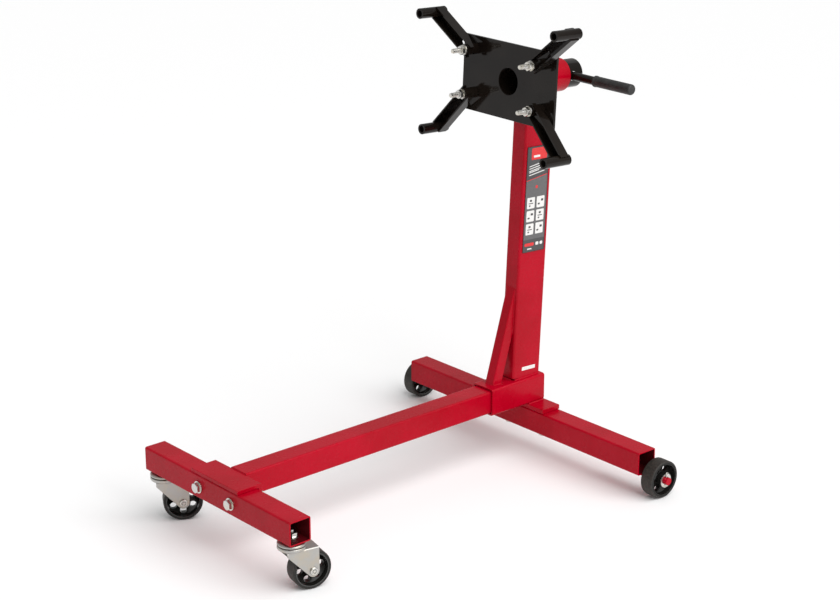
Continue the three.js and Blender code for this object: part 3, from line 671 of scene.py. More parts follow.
seat = Vector((0, middle("leg_lock_bolt").y, lock_low.z + M12["head"] + WASHER_T))
stand_in(move_to(lock_master, Matrix.Translation(seat)), "leg_lock_bolt", zinc_fastener)
seat = Vector((0, middle("leg_lock_nut").y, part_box("leg_lock_nut")[0].z))
stand_in(copy_to(nut_master, "nut", Matrix.Translation(seat)), "leg_lock_nut", zinc_fastener)
for master in (bolt_master, saddle_master):
    bpy.data.objects.remove(master)
print("bolt length", round(leg_bolt_length / MM, 1), "mm")

# %% [markdown]
# ## Wheels
# Each wheel is one moulding: a tread with round shoulders, a recessed web with six holes and a hub that stands out.
# It could be spun from an outline, but working from a fat cylinder by inset and push shows the same steps a mould
# maker takes: sink the web, raise the hub, drill the holes, and break every edge.

# %% The wheel moulding
TYRE_T, WEB_T, HUB_R = 8.5 * MM, 8 * MM, 14 * MM
WEB_HOLES, HOLE_MARGIN, DRAFT = 6, 2 * MM, 0.96
wheel_low, wheel_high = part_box("rear_wheel_left")
WHEEL_R = (wheel_high.z - wheel_low.z) / 2
HUB_W = wheel_high.x - wheel_low.x
TYRE_W = HUB_W - 3 * MM
rim_r = WHEEL_R - TYRE_T
hole_r = (rim_r - HUB_R) / 2 - HOLE_MARGIN


def wheel_moulding(name, bore):
    wheel = bar(name, WHEEL_R, -TYRE_W / 2, TYRE_W / 2, sides=96)
    for end in (1, -1):
        pick_faces(wheel, lambda face: face.normal.z * end > 0.9)
        bpy.ops.mesh.inset(thickness=TYRE_T - MM)
        push(z=-end * (TYRE_W - WEB_T) / 2)
        bpy.ops.transform.resize(value=(DRAFT, DRAFT, 1), center_override=(0, 0, 0))
        bpy.ops.mesh.inset(thickness=rim_r * DRAFT - HUB_R)
        push(z=end * (HUB_W - WEB_T) / 2)
        bpy.ops.transform.resize(value=(DRAFT, DRAFT, 1), center_override=(0, 0, 0))
        bpy.ops.mesh.inset(thickness=2 * MM)
        push(z=-end * 0.8 * MM)
        close()
    pick_edges(wheel, lambda a, b: all(abs(Vector(p.xy).length - WHEEL_R) < 0.1 * MM for p in (a, b))
               and abs(a.z - b.z) < 0.1 * MM)
    bevel(2.4 * MM, 5)
    tools = [bar("bore", bore, -HUB_W, HUB_W, sides=48)]
    for index in range(WEB_HOLES):
        angle = (index + 0.5) * 2 * pi / WEB_HOLES
        at = Vector((cos(angle), sin(angle), 0)) * (HUB_R + rim_r) / 2
        tools.append(bar("web_hole", hole_r, -WEB_T, WEB_T, centre=at, sides=40))
    carve(wheel, *tools)
    soften(wheel, 0.6 * MM, 2)
    return wheel


def rolling_frame(joint):
    return facing(joints[joint]["pos_m"], joints[joint]["axis"])


for kind, axle_r in (("rear", 8 * MM), ("caster", 5 * MM)):
    master = wheel_moulding("wheel", axle_r + HOLE_GAP)
    for side in ("left", "right"):
        joint = f"{kind}_{side}_roll"
        node = f"{kind}_wheel_{side}"
        moulding = copy_to(master, node, rolling_frame(joint))
        stand_in(moulding, node, wheel_plastic(f"{node}_plastic", joints[joint]["pos_m"], joints[joint]["axis"],
                                               WHEEL_R))
    print(kind, "wheel faces:", len(master.data.polygons))
    bpy.data.objects.remove(master)

# %% [markdown]
# ## Rear axles
# Each rear axle is a length of round bar welded under the crossbar, turned down where the wheel runs, with a washer
# and a split pin. The step is an inset of the end face that is pushed out. The split pin is two thin legs bent apart
# below, with a ring for an eye.

# %% Axles, washers and split pins
AXLE_R, JOURNAL_R, PIN_R = 10 * MM, 8 * MM, 1.6 * MM
axle_low, axle_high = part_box("rear_axle_right")
shoulder = joints["rear_right_roll"]["pos_m"][0] - HUB_W / 2 - 0.5 * MM
washer_low, washer_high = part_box("rear_washer_right")
pin_low, pin_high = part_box("rear_split_pin_right")
axle_at = Vector((0, *joints["rear_right_roll"]["pos_m"][1:]))

axle = bar("axle", AXLE_R, axle_low.x, shoulder, "X", sides=64)
pick_faces(axle, lambda face: face.normal.x > 0.9)
bpy.ops.mesh.inset(thickness=AXLE_R - JOURNAL_R)
push(x=axle_high.x - shoulder)
close()
pin_x = (pin_low.x + pin_high.x) / 2
carve(axle, bar("pin_hole", PIN_R + GAP, -0.02, 0.02, "Z", (pin_x, 0, 0), 24))
soften(axle, 0.9 * MM, 3)

axle_washer = washer((washer_high.z - washer_low.z) / 2, JOURNAL_R + GAP, 0, WASHER_T)
soften(axle_washer, 0.4 * MM, 2)

PIN_HALF, PIN_TAIL = 13 * MM, 3 * MM
legs = []
for side in (1, -1):
    leg = bar("pin_leg", PIN_R * 0.52, -PIN_HALF + PIN_TAIL, PIN_HALF, "Z", (0, side * PIN_R * 0.5, 0), 16)
    pick_faces(leg, lambda face: face.normal.z < -0.9)
    push(y=side * PIN_TAIL, z=-PIN_TAIL)
    close()
    shade(leg)
    legs.append(leg)
bpy.ops.object.select_all(action="DESELECT")
bpy.ops.mesh.primitive_torus_add(major_radius=PIN_R * 1.6, minor_radius=PIN_R * 0.55, major_segments=32,
                                 minor_segments=12, rotation=(0, pi / 2, 0), location=(0, 0, PIN_HALF + PIN_R * 1.6))
eye = named("pin_eye")
shade(eye)
split_pin = gather("split_pin", legs + [eye])

for side, turn in (("right", 0), ("left", pi)):
    corner = Matrix.Translation(axle_at) @ Matrix.Rotation(turn, 4, "Z")
    stand_in(copy_to(axle, "axle", corner), f"rear_axle_{side}", red_paint)
    place = corner @ facing((washer_low.x, 0, 0), (1, 0, 0))
    stand_in(copy_to(axle_washer, "washer", place), f"rear_washer_{side}", zinc_fastener)
    place = corner @ Matrix.Translation((pin_x, 0, 0))
    stand_in(copy_to(split_pin, "split_pin", place), f"rear_split_pin_{side}", zinc_fastener)
for master in (axle, axle_washer, split_pin):
    bpy.data.objects.remove(master)
print("axle from", round(axle_low.x, 3), "to", round(axle_high.x, 3))

# %% [markdown]
# ## Casters
# A caster fork is pressed from one sheet: a flat crown, two legs bent down, and a dished race on top. Each leg tapers
# from the crown to a round end at the axle, and that outline is the hull of a disc and a block. Joined to the crown,
# its bends are then rounded with a wide bevel. The upper race is a second pressing, fixed under the crossbar.

# %% Fork, races, stem and rivet
FORK_T, FORK_END_R, FORK_FRONT, FORK_BACK, FORK_EDGE = 3 * MM, 12 * MM, 18 * MM, 47 * MM, 6 * MM
RACE_R, LOWER_RACE_H, RACE_SLIT = 28 * MM, 7.1 * MM, 1.6 * MM
race_low, race_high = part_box("caster_race_right")
stem_low, stem_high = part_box("caster_stem_right")
crown_top = race_low.z - RACE_SLIT - LOWER_RACE_H
crown_z = crown_top - FORK_T
fork_inner = HUB_W / 2 + 1 * MM
fork_outer = fork_inner + FORK_T
swivel = Vector(joints["caster_right_swivel"]["pos_m"])
roll = Vector(joints["caster_right_roll"]["pos_m"])
trail = (roll.xy - swivel.xy).length


def fork_leg(low):
    leg = bar("leg", FORK_END_R, low, low + FORK_T, "X", (0, trail, WHEEL_R), 64)
    root = block("leg_root", (low, -FORK_FRONT, crown_z - FORK_EDGE), (low + FORK_T, FORK_BACK, crown_top))
    leg = gather("leg", [leg, root])
    pick_faces(leg, lambda face: True)
    bpy.ops.mesh.convex_hull()
    close()
    return leg


fork = block("fork", (-fork_outer, -FORK_FRONT, crown_z), (fork_outer, FORK_BACK, crown_top))
carve(fork, fork_leg(fork_inner), fork_leg(-fork_outer), how="UNION")
pick_edges(fork, lambda a, b: all(abs(abs(p.x) - fork_outer) < 0.01 * MM and p.z > crown_top - 0.01 * MM
                                  for p in (a, b)))
bevel(3.4 * MM, 5)
axle_hole = bar("axle_hole", 5 * MM + HOLE_GAP, -0.05, 0.05, "X", (0, trail, WHEEL_R), 32)
carve(fork, axle_hole, bar("stem_hole", 6.5 * MM, crown_z - MM, crown_top + MM, sides=48))
soften(fork, 0.5 * MM, 2)

lower_race = bar("lower_race", RACE_R, crown_top - 0.6 * MM, crown_top + LOWER_RACE_H, sides=96)
for height, offset in ((crown_top - 0.6 * MM, 3 * MM), (crown_top + LOWER_RACE_H, 2 * MM)):
    pick_edges(lower_race, lambda a, b: all(abs(p.z - height) < 0.01 * MM for p in (a, b)))
    bevel(offset, 6)
carve(lower_race, bar("stem_hole", 7 * MM, crown_top - 2 * MM, race_low.z, sides=48))
shade(lower_race)
fork = gather("fork", [fork, lower_race])

upper_race = bar("upper_race", RACE_R, race_low.z, race_low.z + 4 * MM, sides=96)
pick_faces(upper_race, lambda face: face.normal.z > 0.9)
bpy.ops.mesh.inset(thickness=7 * MM)
bpy.ops.transform.translate(value=(0, 0, race_high.z - race_low.z - 4 * MM))
close()
pick_edges(upper_race, lambda a, b: all(p.xy.length > RACE_R - 0.1 * MM for p in (a, b)) and abs(a.z - b.z) < 1e-6)
bevel(1.6 * MM, 5)
carve(upper_race, bar("stem_hole", M12["r"] + HOLE_GAP, race_low.z - MM, race_high.z + MM, sides=48))
shade(upper_race)
retainer = bar("ball_retainer", RACE_R - 8 * MM, race_low.z - RACE_SLIT * 0.7, race_low.z + 2 * MM, sides=64)
carve(retainer, bar("stem_hole", M12["r"] + HOLE_GAP, race_low.z - 4 * MM, race_high.z, sides=48))
shade(retainer)
upper_race = gather("upper_race", [upper_race, retainer])

stem_head = bar("stem_head", 9 * MM, stem_low.z, crown_z - 0.5 * MM, sides=48)
soften(stem_head, 0.9 * MM, 3)
stem_shank = bar("stem_shank", 5.9 * MM, crown_z - MM, race_high.z, sides=32)
shade(stem_shank)
core, ridge = thread(6 * MM, race_high.z, stem_high.z)
shade(core)
shade(ridge, 70)
stem = gather("stem", [stem_head, stem_shank, core, ridge])

rivet_half = fork_outer + 3.5 * MM
rivet = bar("rivet", 5 * MM, -rivet_half, rivet_half, "X", sides=32)
shade(rivet)
heads = []
for side in (1, -1):
    seat = side * (fork_outer + 0.5 * MM)
    head = bar("rivet_head", 8 * MM, min(seat, side * rivet_half), max(seat, side * rivet_half), "X", sides=48)
    pick_faces(head, lambda face: face.normal.x * side > 0.9)
    bevel(1.8 * MM, 5)
    carve(head, bar("rivet_dimple", 2.2 * MM, side * rivet_half - MM, side * rivet_half + MM, "X", sides=24))
    shade(head)
    heads.append(head)
rivet = gather("rivet", [rivet] + heads)

for side in ("left", "right"):
    swivel = Vector(joints[f"caster_{side}_swivel"]["pos_m"])
    stem_frame = Matrix.Translation((swivel.x, swivel.y, 0))
    roll_axis = Vector(joints[f"caster_{side}_roll"]["axis"])
    fork_frame = stem_frame @ Matrix.Rotation(atan2(roll_axis.y, roll_axis.x), 4, "Z")
    stand_in(copy_to(upper_race, "race", stem_frame), f"caster_race_{side}", zinc_sheet)
    stand_in(copy_to(stem, "stem", stem_frame), f"caster_stem_{side}", zinc_fastener)
    seat = Vector((swivel.x, swivel.y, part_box(f"caster_nut_{side}")[0].z))
    stand_in(copy_to(nut_master, "nut", Matrix.Translation(seat)), f"caster_nut_{side}", zinc_fastener)
    stand_in(copy_to(fork, "fork", fork_frame), f"caster_fork_{side}", zinc_sheet)
    place = fork_frame @ Matrix.Translation((0, trail, WHEEL_R))
    stand_in(copy_to(rivet, "rivet", place), f"caster_axle_{side}", zinc_fastener)
for master in (upper_race, stem, fork, rivet, nut_master):
    bpy.data.objects.remove(master)
print("caster trail", round(trail / MM, 1), "mm")

# %% [markdown]
# ## The head
# A round housing is welded across the mast's top. The head's tube turns in it, drilled with eight holes for the lock
# pin and cross-drilled behind for the handle. The plate in front is thick flat bar with rounded corners and a bore.
# Everything is made about the head's own axis and set down with the head's frame.

# %% Housing, tube and plate
housing_wall = 4 * MM
LOCK_BOSS_R, LOCK_PIN_R, LOCK_HOLES = 10.5 * MM, 6 * MM, 8
housing = bar("housing", housing_r, housing_low.y, housing_high.y, "Y", sides=96)
carve(housing, bar("boss", LOCK_BOSS_R, housing_low.x, -housing_r + 2 * MM, "X", sides=48), how="UNION")
inside = bar("inside", housing_r - housing_wall, housing_low.y - MM, housing_high.y + MM, "Y", sides=96)
carve(housing, inside, bar("pin_way", LOCK_PIN_R + HOLE_GAP, housing_low.x - MM, -housing_r / 2, "X", sides=48))
soften(housing, 0.6 * MM, 2)
stand_in(move_to(housing, head_frame), "head_housing", red_paint)

tube_low, tube_high = span("head_tube", head_frame)
tube_r = tube_high.x
bar_low, bar_high = span("handle_bar", head_frame)
handle_y = (bar_low.y + bar_high.y) / 2
handle_r = (bar_high.z - bar_low.z) / 2
head_tube = bar("tube", tube_r, tube_low.y, tube_high.y, "Y", sides=96)
tools = [bar("inside", tube_r - TUBE_WALL, tube_low.y - MM, tube_high.y + MM, "Y", sides=96),
         bar("cross_hole", handle_r + MM, -0.1, 0.1, "X", (0, handle_y, 0), 48)]
for index in range(LOCK_HOLES // 2):
    drill = bar("lock_hole", LOCK_PIN_R + MM, -0.05, 0.05, "X", sides=32)
    tools.append(move_to(drill, Matrix.Rotation(index * 2 * pi / LOCK_HOLES, 4, "Y")))
carve(head_tube, *tools)
soften(head_tube, 0.4 * MM, 2)
stand_in(move_to(head_tube, head_frame), "head_tube", black_paint)

plate_low, plate_high = span("mounting_plate", head_frame)
PLATE_CORNER, plate_bore = 5 * MM, tube_r - TUBE_WALL + MM
plate = block("plate", plate_low, plate_high)
pick_edges(plate, lambda a, b: abs(a.y - b.y) > 1 * MM)
bevel(PLATE_CORNER, 6)
carve(plate, bar("bore", plate_bore, plate_low.y - MM, plate_high.y + MM, "Y", sides=96))
soften(plate, 0.7 * MM, 3)
stand_in(move_to(plate, head_frame), "mounting_plate", black_paint)
print("plate", [round(side / MM, 1) for side in plate_high - plate_low], "mm")

# %% [markdown]
# ## Handle and lock pin
# The handle slides in the tube's cross hole between its grip and a stop ring. The grip is dipped vinyl: thicker than
# the bar, with a soft round end and a rolled lip where it starts. The lock pin is a plain shaft with a cross handle.

# %% Handle and lock pin
handle = bar("handle", handle_r, bar_low.x, bar_high.x, "X", (0, handle_y, 0), 64)
soften(handle, 0.8 * MM, 3)
stand_in(move_to(handle, head_frame), "handle_bar", black_paint)

grip_low, grip_high = span("handle_grip", head_frame)
grip_r = (grip_high.z - grip_low.z) / 2
LIP_W = 5 * MM
grip = bar("grip", grip_r - 0.8 * MM, grip_low.x + LIP_W, grip_high.x, "X", (0, handle_y, 0), 64)
pick_faces(grip, lambda face: face.normal.x < -0.9)
push(x=-1 * MM)
bpy.ops.transform.resize(value=(1, grip_r / (grip_r - 0.8 * MM), grip_r / (grip_r - 0.8 * MM)),
                         center_override=(0, handle_y, 0))
push(x=-(LIP_W - MM))
close()
pick_faces(grip, lambda face: face.normal.x > 0.9)
bevel(4.5 * MM, 8)
carve(grip, bar("socket", handle_r + GAP, grip_low.x - MM, bar_high.x + GAP, "X", (0, handle_y, 0), 64))
soften(grip, 0.9 * MM, 3)
stand_in(move_to(grip, head_frame), "handle_grip", grip_finish)

stop_low, stop_high = span("handle_stop", head_frame)
stop_r = (stop_high.z - stop_low.z) / 2
stop = bar("stop", stop_r, stop_low.x, stop_high.x, "X", (0, handle_y, 0), 64)
carve(stop, bar("hole", handle_r + GAP, stop_low.x - MM, stop_high.x + MM, "X", (0, handle_y, 0), 64))
soften(stop, 1.1 * MM, 3)
stand_in(move_to(stop, head_frame), "handle_stop", black_paint)

pin_low, pin_high = span("lock_pin", head_frame)
CROSS_R = 4.5 * MM
cross_x = pin_low.x + CROSS_R
shaft = bar("shaft", LOCK_PIN_R, cross_x, pin_high.x, "X", sides=48)
carve(shaft, bar("cross", CROSS_R, pin_low.z, pin_high.z, "Z", (cross_x, 0, 0), 48), how="UNION")
soften(shaft, 0.9 * MM, 3)
stand_in(move_to(shaft, head_frame), "lock_pin", zinc_fastener)
print("grip radius", round(grip_r / MM, 1), "mm")

# %% [markdown]
# ## Arms and fingers
# An arm is folded from sheet: a back web, and two flanges that open towards the engine. At the plate's end the web
# stops short and the flanges run on to grip a bush; at the far end they hold the finger tube. The shell begins as a
# flat strip: its long edges are pulled forward, the flanges' ends are pulled out past the bolt and cut on a slant,
# the bends are rounded, and Solidify gives the sheet its thickness.

# %% Arm shell
SHEET, BEND = 3 * MM, 3 * MM
STANDOFF, WEB_START, FLANGE_TIP, FLANGE_TIP_D = 6 * MM, 36 * MM, 9 * MM, 9 * MM
BUSH_GRIP, BUSH_PAST_FRONT, FLANGE_D = 0.5 * MM, 4.5 * MM, 24 * MM
FINGER_BORE_R = 7 * MM
arm_names = ("upper_left", "lower_left", "upper_right", "lower_right")


def arm_shell(length, half, depth, finger_r):
    """laid out along +X from its bolt; y = 0 is the back of its web and -Y is the front"""
    bpy.ops.object.select_all(action="DESELECT")
    bpy.ops.mesh.primitive_plane_add(
        size=1, location=((WEB_START + length) / 2, 0, 0), rotation=(pi / 2, 0, 0))
    web = named("web")
    open_piece(web, "FACE")
    bpy.ops.object.mode_set(mode="EDIT")
    bpy.ops.mesh.select_all(action="SELECT")
    bpy.ops.transform.resize(
        value=(length - WEB_START, 1, 2 * half), center_override=((WEB_START + length) / 2, 0, 0))
    close()

    def at_back(*points):
        return all(abs(p.y) < 1e-5 and abs(abs(p.z) - half) < 1e-5 for p in points)

    pick_edges(web, lambda a, b: at_back(a, b) and abs(a.z - b.z) < 1e-5)
    push(y=-depth)
    close()
    pick_edges(web, lambda a, b: abs(a.y - b.y) > depth / 2 and abs(a.x - WEB_START) < 1e-5)
    push(x=-WEB_START - FLANGE_TIP)
    close()
    pick_faces(web, lambda face: abs(face.normal.z) > 0.9)
    bpy.ops.mesh.bisect(plane_co=(WEB_START, 0, 0), plane_no=(FLANGE_TIP_D - depth, FLANGE_TIP + WEB_START, 0),
                        clear_outer=True)
    close()
    pick_edges(web, lambda a, b: at_back(a, b) and abs(a.z - b.z) < 1e-5)
    bevel(BEND, 4)
    pick_faces(web, lambda face: True)
    bpy.ops.mesh.normals_make_consistent(inside=False)
    close()
    thicken(web, SHEET)
    bush = bar("bush", finger_r + BUSH_GRIP, -depth - BUSH_PAST_FRONT, STANDOFF - GAP, "Y", sides=64)
    carve(web, bush, how="UNION")
    carve(web, bar("bed", finger_r - 2 * MM, -depth - MM, MM, "Y", (length, 0, 0), 48),
          bar("bolt_hole", M10["r"] + HOLE_GAP, -0.05, 0.02, "Y", sides=32))
    soften(web, 0.5 * MM, 2)
    return web


def finger_tube(radius, front, rear):
    tube = bar("finger", radius, front, rear, "Y", sides=64)
    carve(tube, bar("finger_bore", FINGER_BORE_R, front - MM, rear + MM, "Y", sides=48))
    soften(tube, 0.8 * MM, 3)
    return tube


# %% Arms in place
bolt_low, bolt_high = span("arm_bolt_upper_left", head_frame)
bolt_length = bolt_high.y - bolt_low.y - M10["head"] - WASHER_T
bolt_master = hex_bolt("arm_bolt", M10, bolt_length, 40 * MM)
nut_master = hex_nut("arm_nut", M10)
forward = Vector((0, -1, 0))
arm_frames = {}
for name in arm_names:
    bolt_at = head_frame.inverted() @ Vector(joints[f"arm_{name}_swing"]["pos_m"])
    low, high = span(f"finger_{name}", head_frame)
    reach = (low + high) / 2 - bolt_at
    angle = atan2(reach.z, reach.x)
    arm_frame = head_frame @ Matrix.Translation(bolt_at) @ Matrix.Rotation(-angle, 4, "Y")
    arm_half = span(f"arm_{name}", arm_frame)[1].z
    low, high = span(f"finger_{name}", arm_frame)
    length, finger_r = (low.x + high.x) / 2, (high.x - low.x) / 2
    arm = arm_shell(length, arm_half, FLANGE_D, finger_r)
    stand_in(move_to(arm, arm_frame), f"arm_{name}", black_paint)
    finger = finger_tube(finger_r, low.y, high.y)
    stand_in(move_to(finger, arm_frame @ Matrix.Translation((length, 0, 0))), f"finger_{name}", black_paint)
    arm_frames[name] = arm_frame, length, finger_r
    seat = Vector((bolt_at.x, bolt_high.y - M10["head"] - WASHER_T, bolt_at.z))
    place = head_frame @ facing(seat, forward)
    stand_in(copy_to(bolt_master, "bolt", place), f"arm_bolt_{name}", zinc_fastener)
    nut_seat = span(f"arm_nut_{name}", head_frame)[1].y
    place = head_frame @ facing((bolt_at.x, nut_seat, bolt_at.z), forward)
    stand_in(copy_to(nut_master, "nut", place), f"arm_nut_{name}", zinc_fastener)
    print(name, "arm", round(length / MM, 1), "mm at", round(degrees(angle), 1), "degrees")
for master in (bolt_master, nut_master):
    bpy.data.objects.remove(master)

# %% [markdown]
# ## Weld beads
# Every joint of this frame is welded, and the coat of paint only softens the ripples of the bead. A bead could be a
# bump in the material, but at the mast's foot it catches the light, so it is real: a thin bar with rings along it,
# every other ring drawn in, then smoothed.

# %% Beads
RIPPLE = 2.6 * MM
FLATTEN = 0.75  # a bead's height to its width


def bead(start, end, radius=2.6 * MM, out=(0, 0, 1)):
    """a rippled bead from one point to another"""
    start, end = Vector(start), Vector(end)
    length = (end - start).length
    rings = max(6, int(length / RIPPLE) * 2)
    piece = bar("bead", radius, -length / 2, length / 2, sides=12)
    pick_edges(piece, lambda a, b: abs(a.z - b.z) > length * 0.9)
    bpy.ops.mesh.subdivide(number_cuts=rings)
    close()
    step = length / (rings + 1)
    pick_edges(piece, lambda a, b: abs(a.z - b.z) < 1e-6 and round((a.z + length / 2) / step) % 2 == 0
               and abs(a.z) < length / 2 - step / 2)
    bpy.ops.transform.resize(value=(0.84, 0.84, 1), center_override=(0, 0, 0))
    close()
    pick_faces(piece, lambda face: abs(face.normal.z) > 0.9)
    bpy.ops.transform.resize(value=(0.45, 0.45, 1), center_override=(0, 0, 0))
    close()
    apply(piece, "SUBSURF", levels=1, render_levels=1)
    take(piece)
    bpy.ops.object.shade_smooth()
    along = (end - start).normalized()
    aside = Vector(out).cross(along).normalized()
    turn = Matrix((aside, along.cross(aside), along)).transposed().to_4x4()
    squeeze = Matrix.Diagonal((1, FLATTEN, 1, 1))
    move_to(piece, Matrix.Translation((start + end) / 2) @ turn @ squeeze)
    return piece


def ring_bead(name, radius, thick, place):
    """a rippled bead round a tube, about the Z axis of its frame"""
    rings = int(2 * pi * radius / RIPPLE)
    bpy.ops.object.select_all(action="DESELECT")
    bpy.ops.mesh.primitive_torus_add(
        major_radius=radius, minor_radius=thick, major_segments=rings * 2, minor_segments=10)
    piece = named(name)
    step = pi / rings
    open_piece(piece, "VERT")
    for vertex in piece.data.vertices:
        vertex.select = round(atan2(vertex.co.y, vertex.co.x) / step) % 2 == 0
    bpy.ops.object.mode_set(mode="EDIT")
    bpy.ops.transform.shrink_fatten(value=-0.16 * thick)
    close()
    apply(piece, "SUBSURF", levels=1, render_levels=1)
    take(piece)
    bpy.ops.object.shade_smooth()
    return move_to(piece, place)


def weld(name, beads):
    dress(gather(name, beads), "root", "red_paint", red_paint)


sleeve_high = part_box("leg_sleeve")[1]
saddle_low, saddle_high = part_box("saddle_plate")
leg_low, leg_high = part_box("main_leg")
inset = MAST_CORNER
foot = []
for side in (1, -1):
    x = side * mast_half_w
    front_corner = mast_frame @ Vector((x, -mast_half_d + inset, 0))
    rear_corner = mast_frame @ Vector((x, mast_half_d - inset, 0))
    front_corner.z = rear_corner.z = foot_z
    foot.append(bead(front_corner, rear_corner, out=(side, 0, 1)))
for y, out in ((-mast_half_d, (0, -1, 1)), (mast_half_d, (0, 1, 1))):
    ends = [mast_frame @ Vector((side * (mast_half_w - inset), y, 0)) for side in (-1, 1)]
    for end in ends:
        end.z = foot_z
    foot.append(bead(*ends, out=out))
weld("mast_foot_weld", foot)

low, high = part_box("mast_brace")
half = brace_w / 2
brace_rear = low.y + brace_w / cos(BRACE_LEAN)
brace_welds = [bead((-half + 2 * MM, low.y, low.z), (half - 2 * MM, low.y, low.z), 2 * MM, out=(0, -1, 1)),
               bead((-half + 2 * MM, brace_rear, low.z), (half - 2 * MM, brace_rear, low.z), 2 * MM, out=(0, 1, 1))]
for side in (1, -1):
    x = side * half
    brace_welds.append(bead((x, low.y + 2 * MM, low.z), (x, brace_rear - 2 * MM, low.z), 2 * MM, out=(side, 0, 1)))
face_y = -mast_half_d
top_in_mast = mast_frame.inverted() @ Vector((0, high.y, high.z))
closing = BRACE_LEAN - lean
touch = brace_w / sin(closing)
for side in (1, -1):
    start = mast_frame @ Vector((side * half, face_y, top_in_mast.z - touch + 4 * MM))
    end = mast_frame @ Vector((side * half, face_y, top_in_mast.z - 2 * MM))
    brace_welds.append(bead(start, end, 2 * MM, out=(side, -1, 0)))
weld("brace_weld", brace_welds)

sleeve_welds = []
for side in (1, -1):
    x = side * sleeve_high.x
    z = saddle_high.z
    sleeve_welds.append(bead((x, saddle_low.y + 2 * MM, z), (x, sleeve_high.y - 2 * MM, z), out=(side, 0, 1)))
weld("sleeve_weld", sleeve_welds)

leg_welds = []
bracket_back = leg_low.y
half = leg_high.x - TUBE_CORNER
for side in (1, -1):
    x = side * leg_high.x
    leg_welds.append(bead((x, bracket_back, leg_low.z + TUBE_CORNER), (x, bracket_back, leg_high.z - 8 * MM),
                          2.2 * MM, out=(side, 1, 0)))
bracket_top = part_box("leg_bracket")[1].z
leg_welds.append(bead((-half, bracket_back, bracket_top), (half, bracket_back, bracket_top), 2.2 * MM,
                      out=(0, -1, 1)))
weld("leg_weld", leg_welds)

axle_welds = []
bar_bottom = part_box("rear_crossbar")[0].z
for side in (1, -1):
    for lane in (-1, 1):
        y = axle_at.y + lane * 3.5 * MM
        ends = [(side * (axle_low.x + 8 * MM), y, bar_bottom - 0.8 * MM),
                (side * (shoulder - 12 * MM), y, bar_bottom - 0.8 * MM)]
        axle_welds.append(bead(*ends, radius=2.4 * MM, out=(0, lane, -1)))
weld("axle_weld", axle_welds)

# %% Beads of the head
cope_drop = sqrt(housing_r ** 2 - mast_half_w ** 2)
housing_welds = []
for side in (1, -1):
    ends = [head_frame @ Vector((side * mast_half_w, y, -cope_drop)) for y in (-mast_half_d + 5 * MM,
                                                                               mast_half_d - 5 * MM)]
    housing_welds.append(bead(*ends, out=head_frame.to_3x3() @ Vector((side, 0, -0.6))))
weld("housing_weld", housing_welds)
place = head_frame @ facing((-housing_r + 0.6 * MM, 0, 0), (1, 0, 0))
dress(ring_bead("boss_weld", LOCK_BOSS_R + 0.6 * MM, 1.6 * MM, place), "root", "red_paint", red_paint)
place = head_frame @ facing((0, plate_high.y + 0.9 * MM, 0), (0, 1, 0))
dress(ring_bead("plate_weld", tube_r + 0.3 * MM, 2.0 * MM, place), "head", "black_paint", black_paint)
for name, (arm_frame, length, finger_r) in arm_frames.items():
    arm_welds = []
    for side in (1, -1):
        z = side * (finger_r + 0.4 * MM)
        ends = [arm_frame @ Vector((length - 2 * MM, y, z)) for y in (-21 * MM, -5 * MM)]
        arm_welds.append(bead(*ends, radius=1.6 * MM, out=arm_frame.to_3x3() @ Vector((1, 0, side))))
        z = side * (finger_r + BUSH_GRIP - 0.6 * MM)
        ends = [arm_frame @ Vector((x, -FLANGE_D - 0.4 * MM, z)) for x in (-5 * MM, 5 * MM)]
        arm_welds.append(bead(*ends, radius=1.3 * MM, out=arm_frame.to_3x3() @ Vector((0, -1, 0))))
    dress(gather(f"arm_weld_{name}", arm_welds), f"arm_{name}", "black_paint", black_paint)
print("welds made")

# %% [markdown]
# ## Labels
# The mast carries a printed film with an instruction panel, and a small blank tag near its foot. The print here is
# plain and generic: a red block with a pale bar, slanted bars and six pale tiles with simple shapes, and no words.
# The print is cut as very thin raised pieces, so that it stays crisp from any distance.

# %% The instruction panel
label_low, label_high = span("mast_label", mast_frame)
face_x = label_high.x
label_h, label_w = label_high.z - label_low.z, label_high.y - label_low.y
PRINT_T = 0.08 * MM


def sticker(name, across, along, thick, radius, level=0, material=0, slant=0):
    """a flat block on the label's face; across and along are shares of its width and height"""
    low = Vector((face_x + level * PRINT_T, label_low.y + across[0] * label_w, label_low.z + along[0] * label_h))
    high = Vector((low.x + thick, label_low.y + across[1] * label_w, label_low.z + along[1] * label_h))
    piece = block(name, low, high)
    if radius:
        pick_edges(piece, lambda a, b: abs(a.x - b.x) > thick / 2)
        bevel(radius, 4)
    if slant:
        centre = Matrix.Translation((low + high) / 2)
        move_to(piece, centre @ Matrix.Rotation(slant, 4, "X") @ centre.inverted())
    for slot in (film_grey, film_slate, film_red, film_white):
        piece.data.materials.append(slot)
    for face in piece.data.polygons:
        face.material_index = material
    return piece


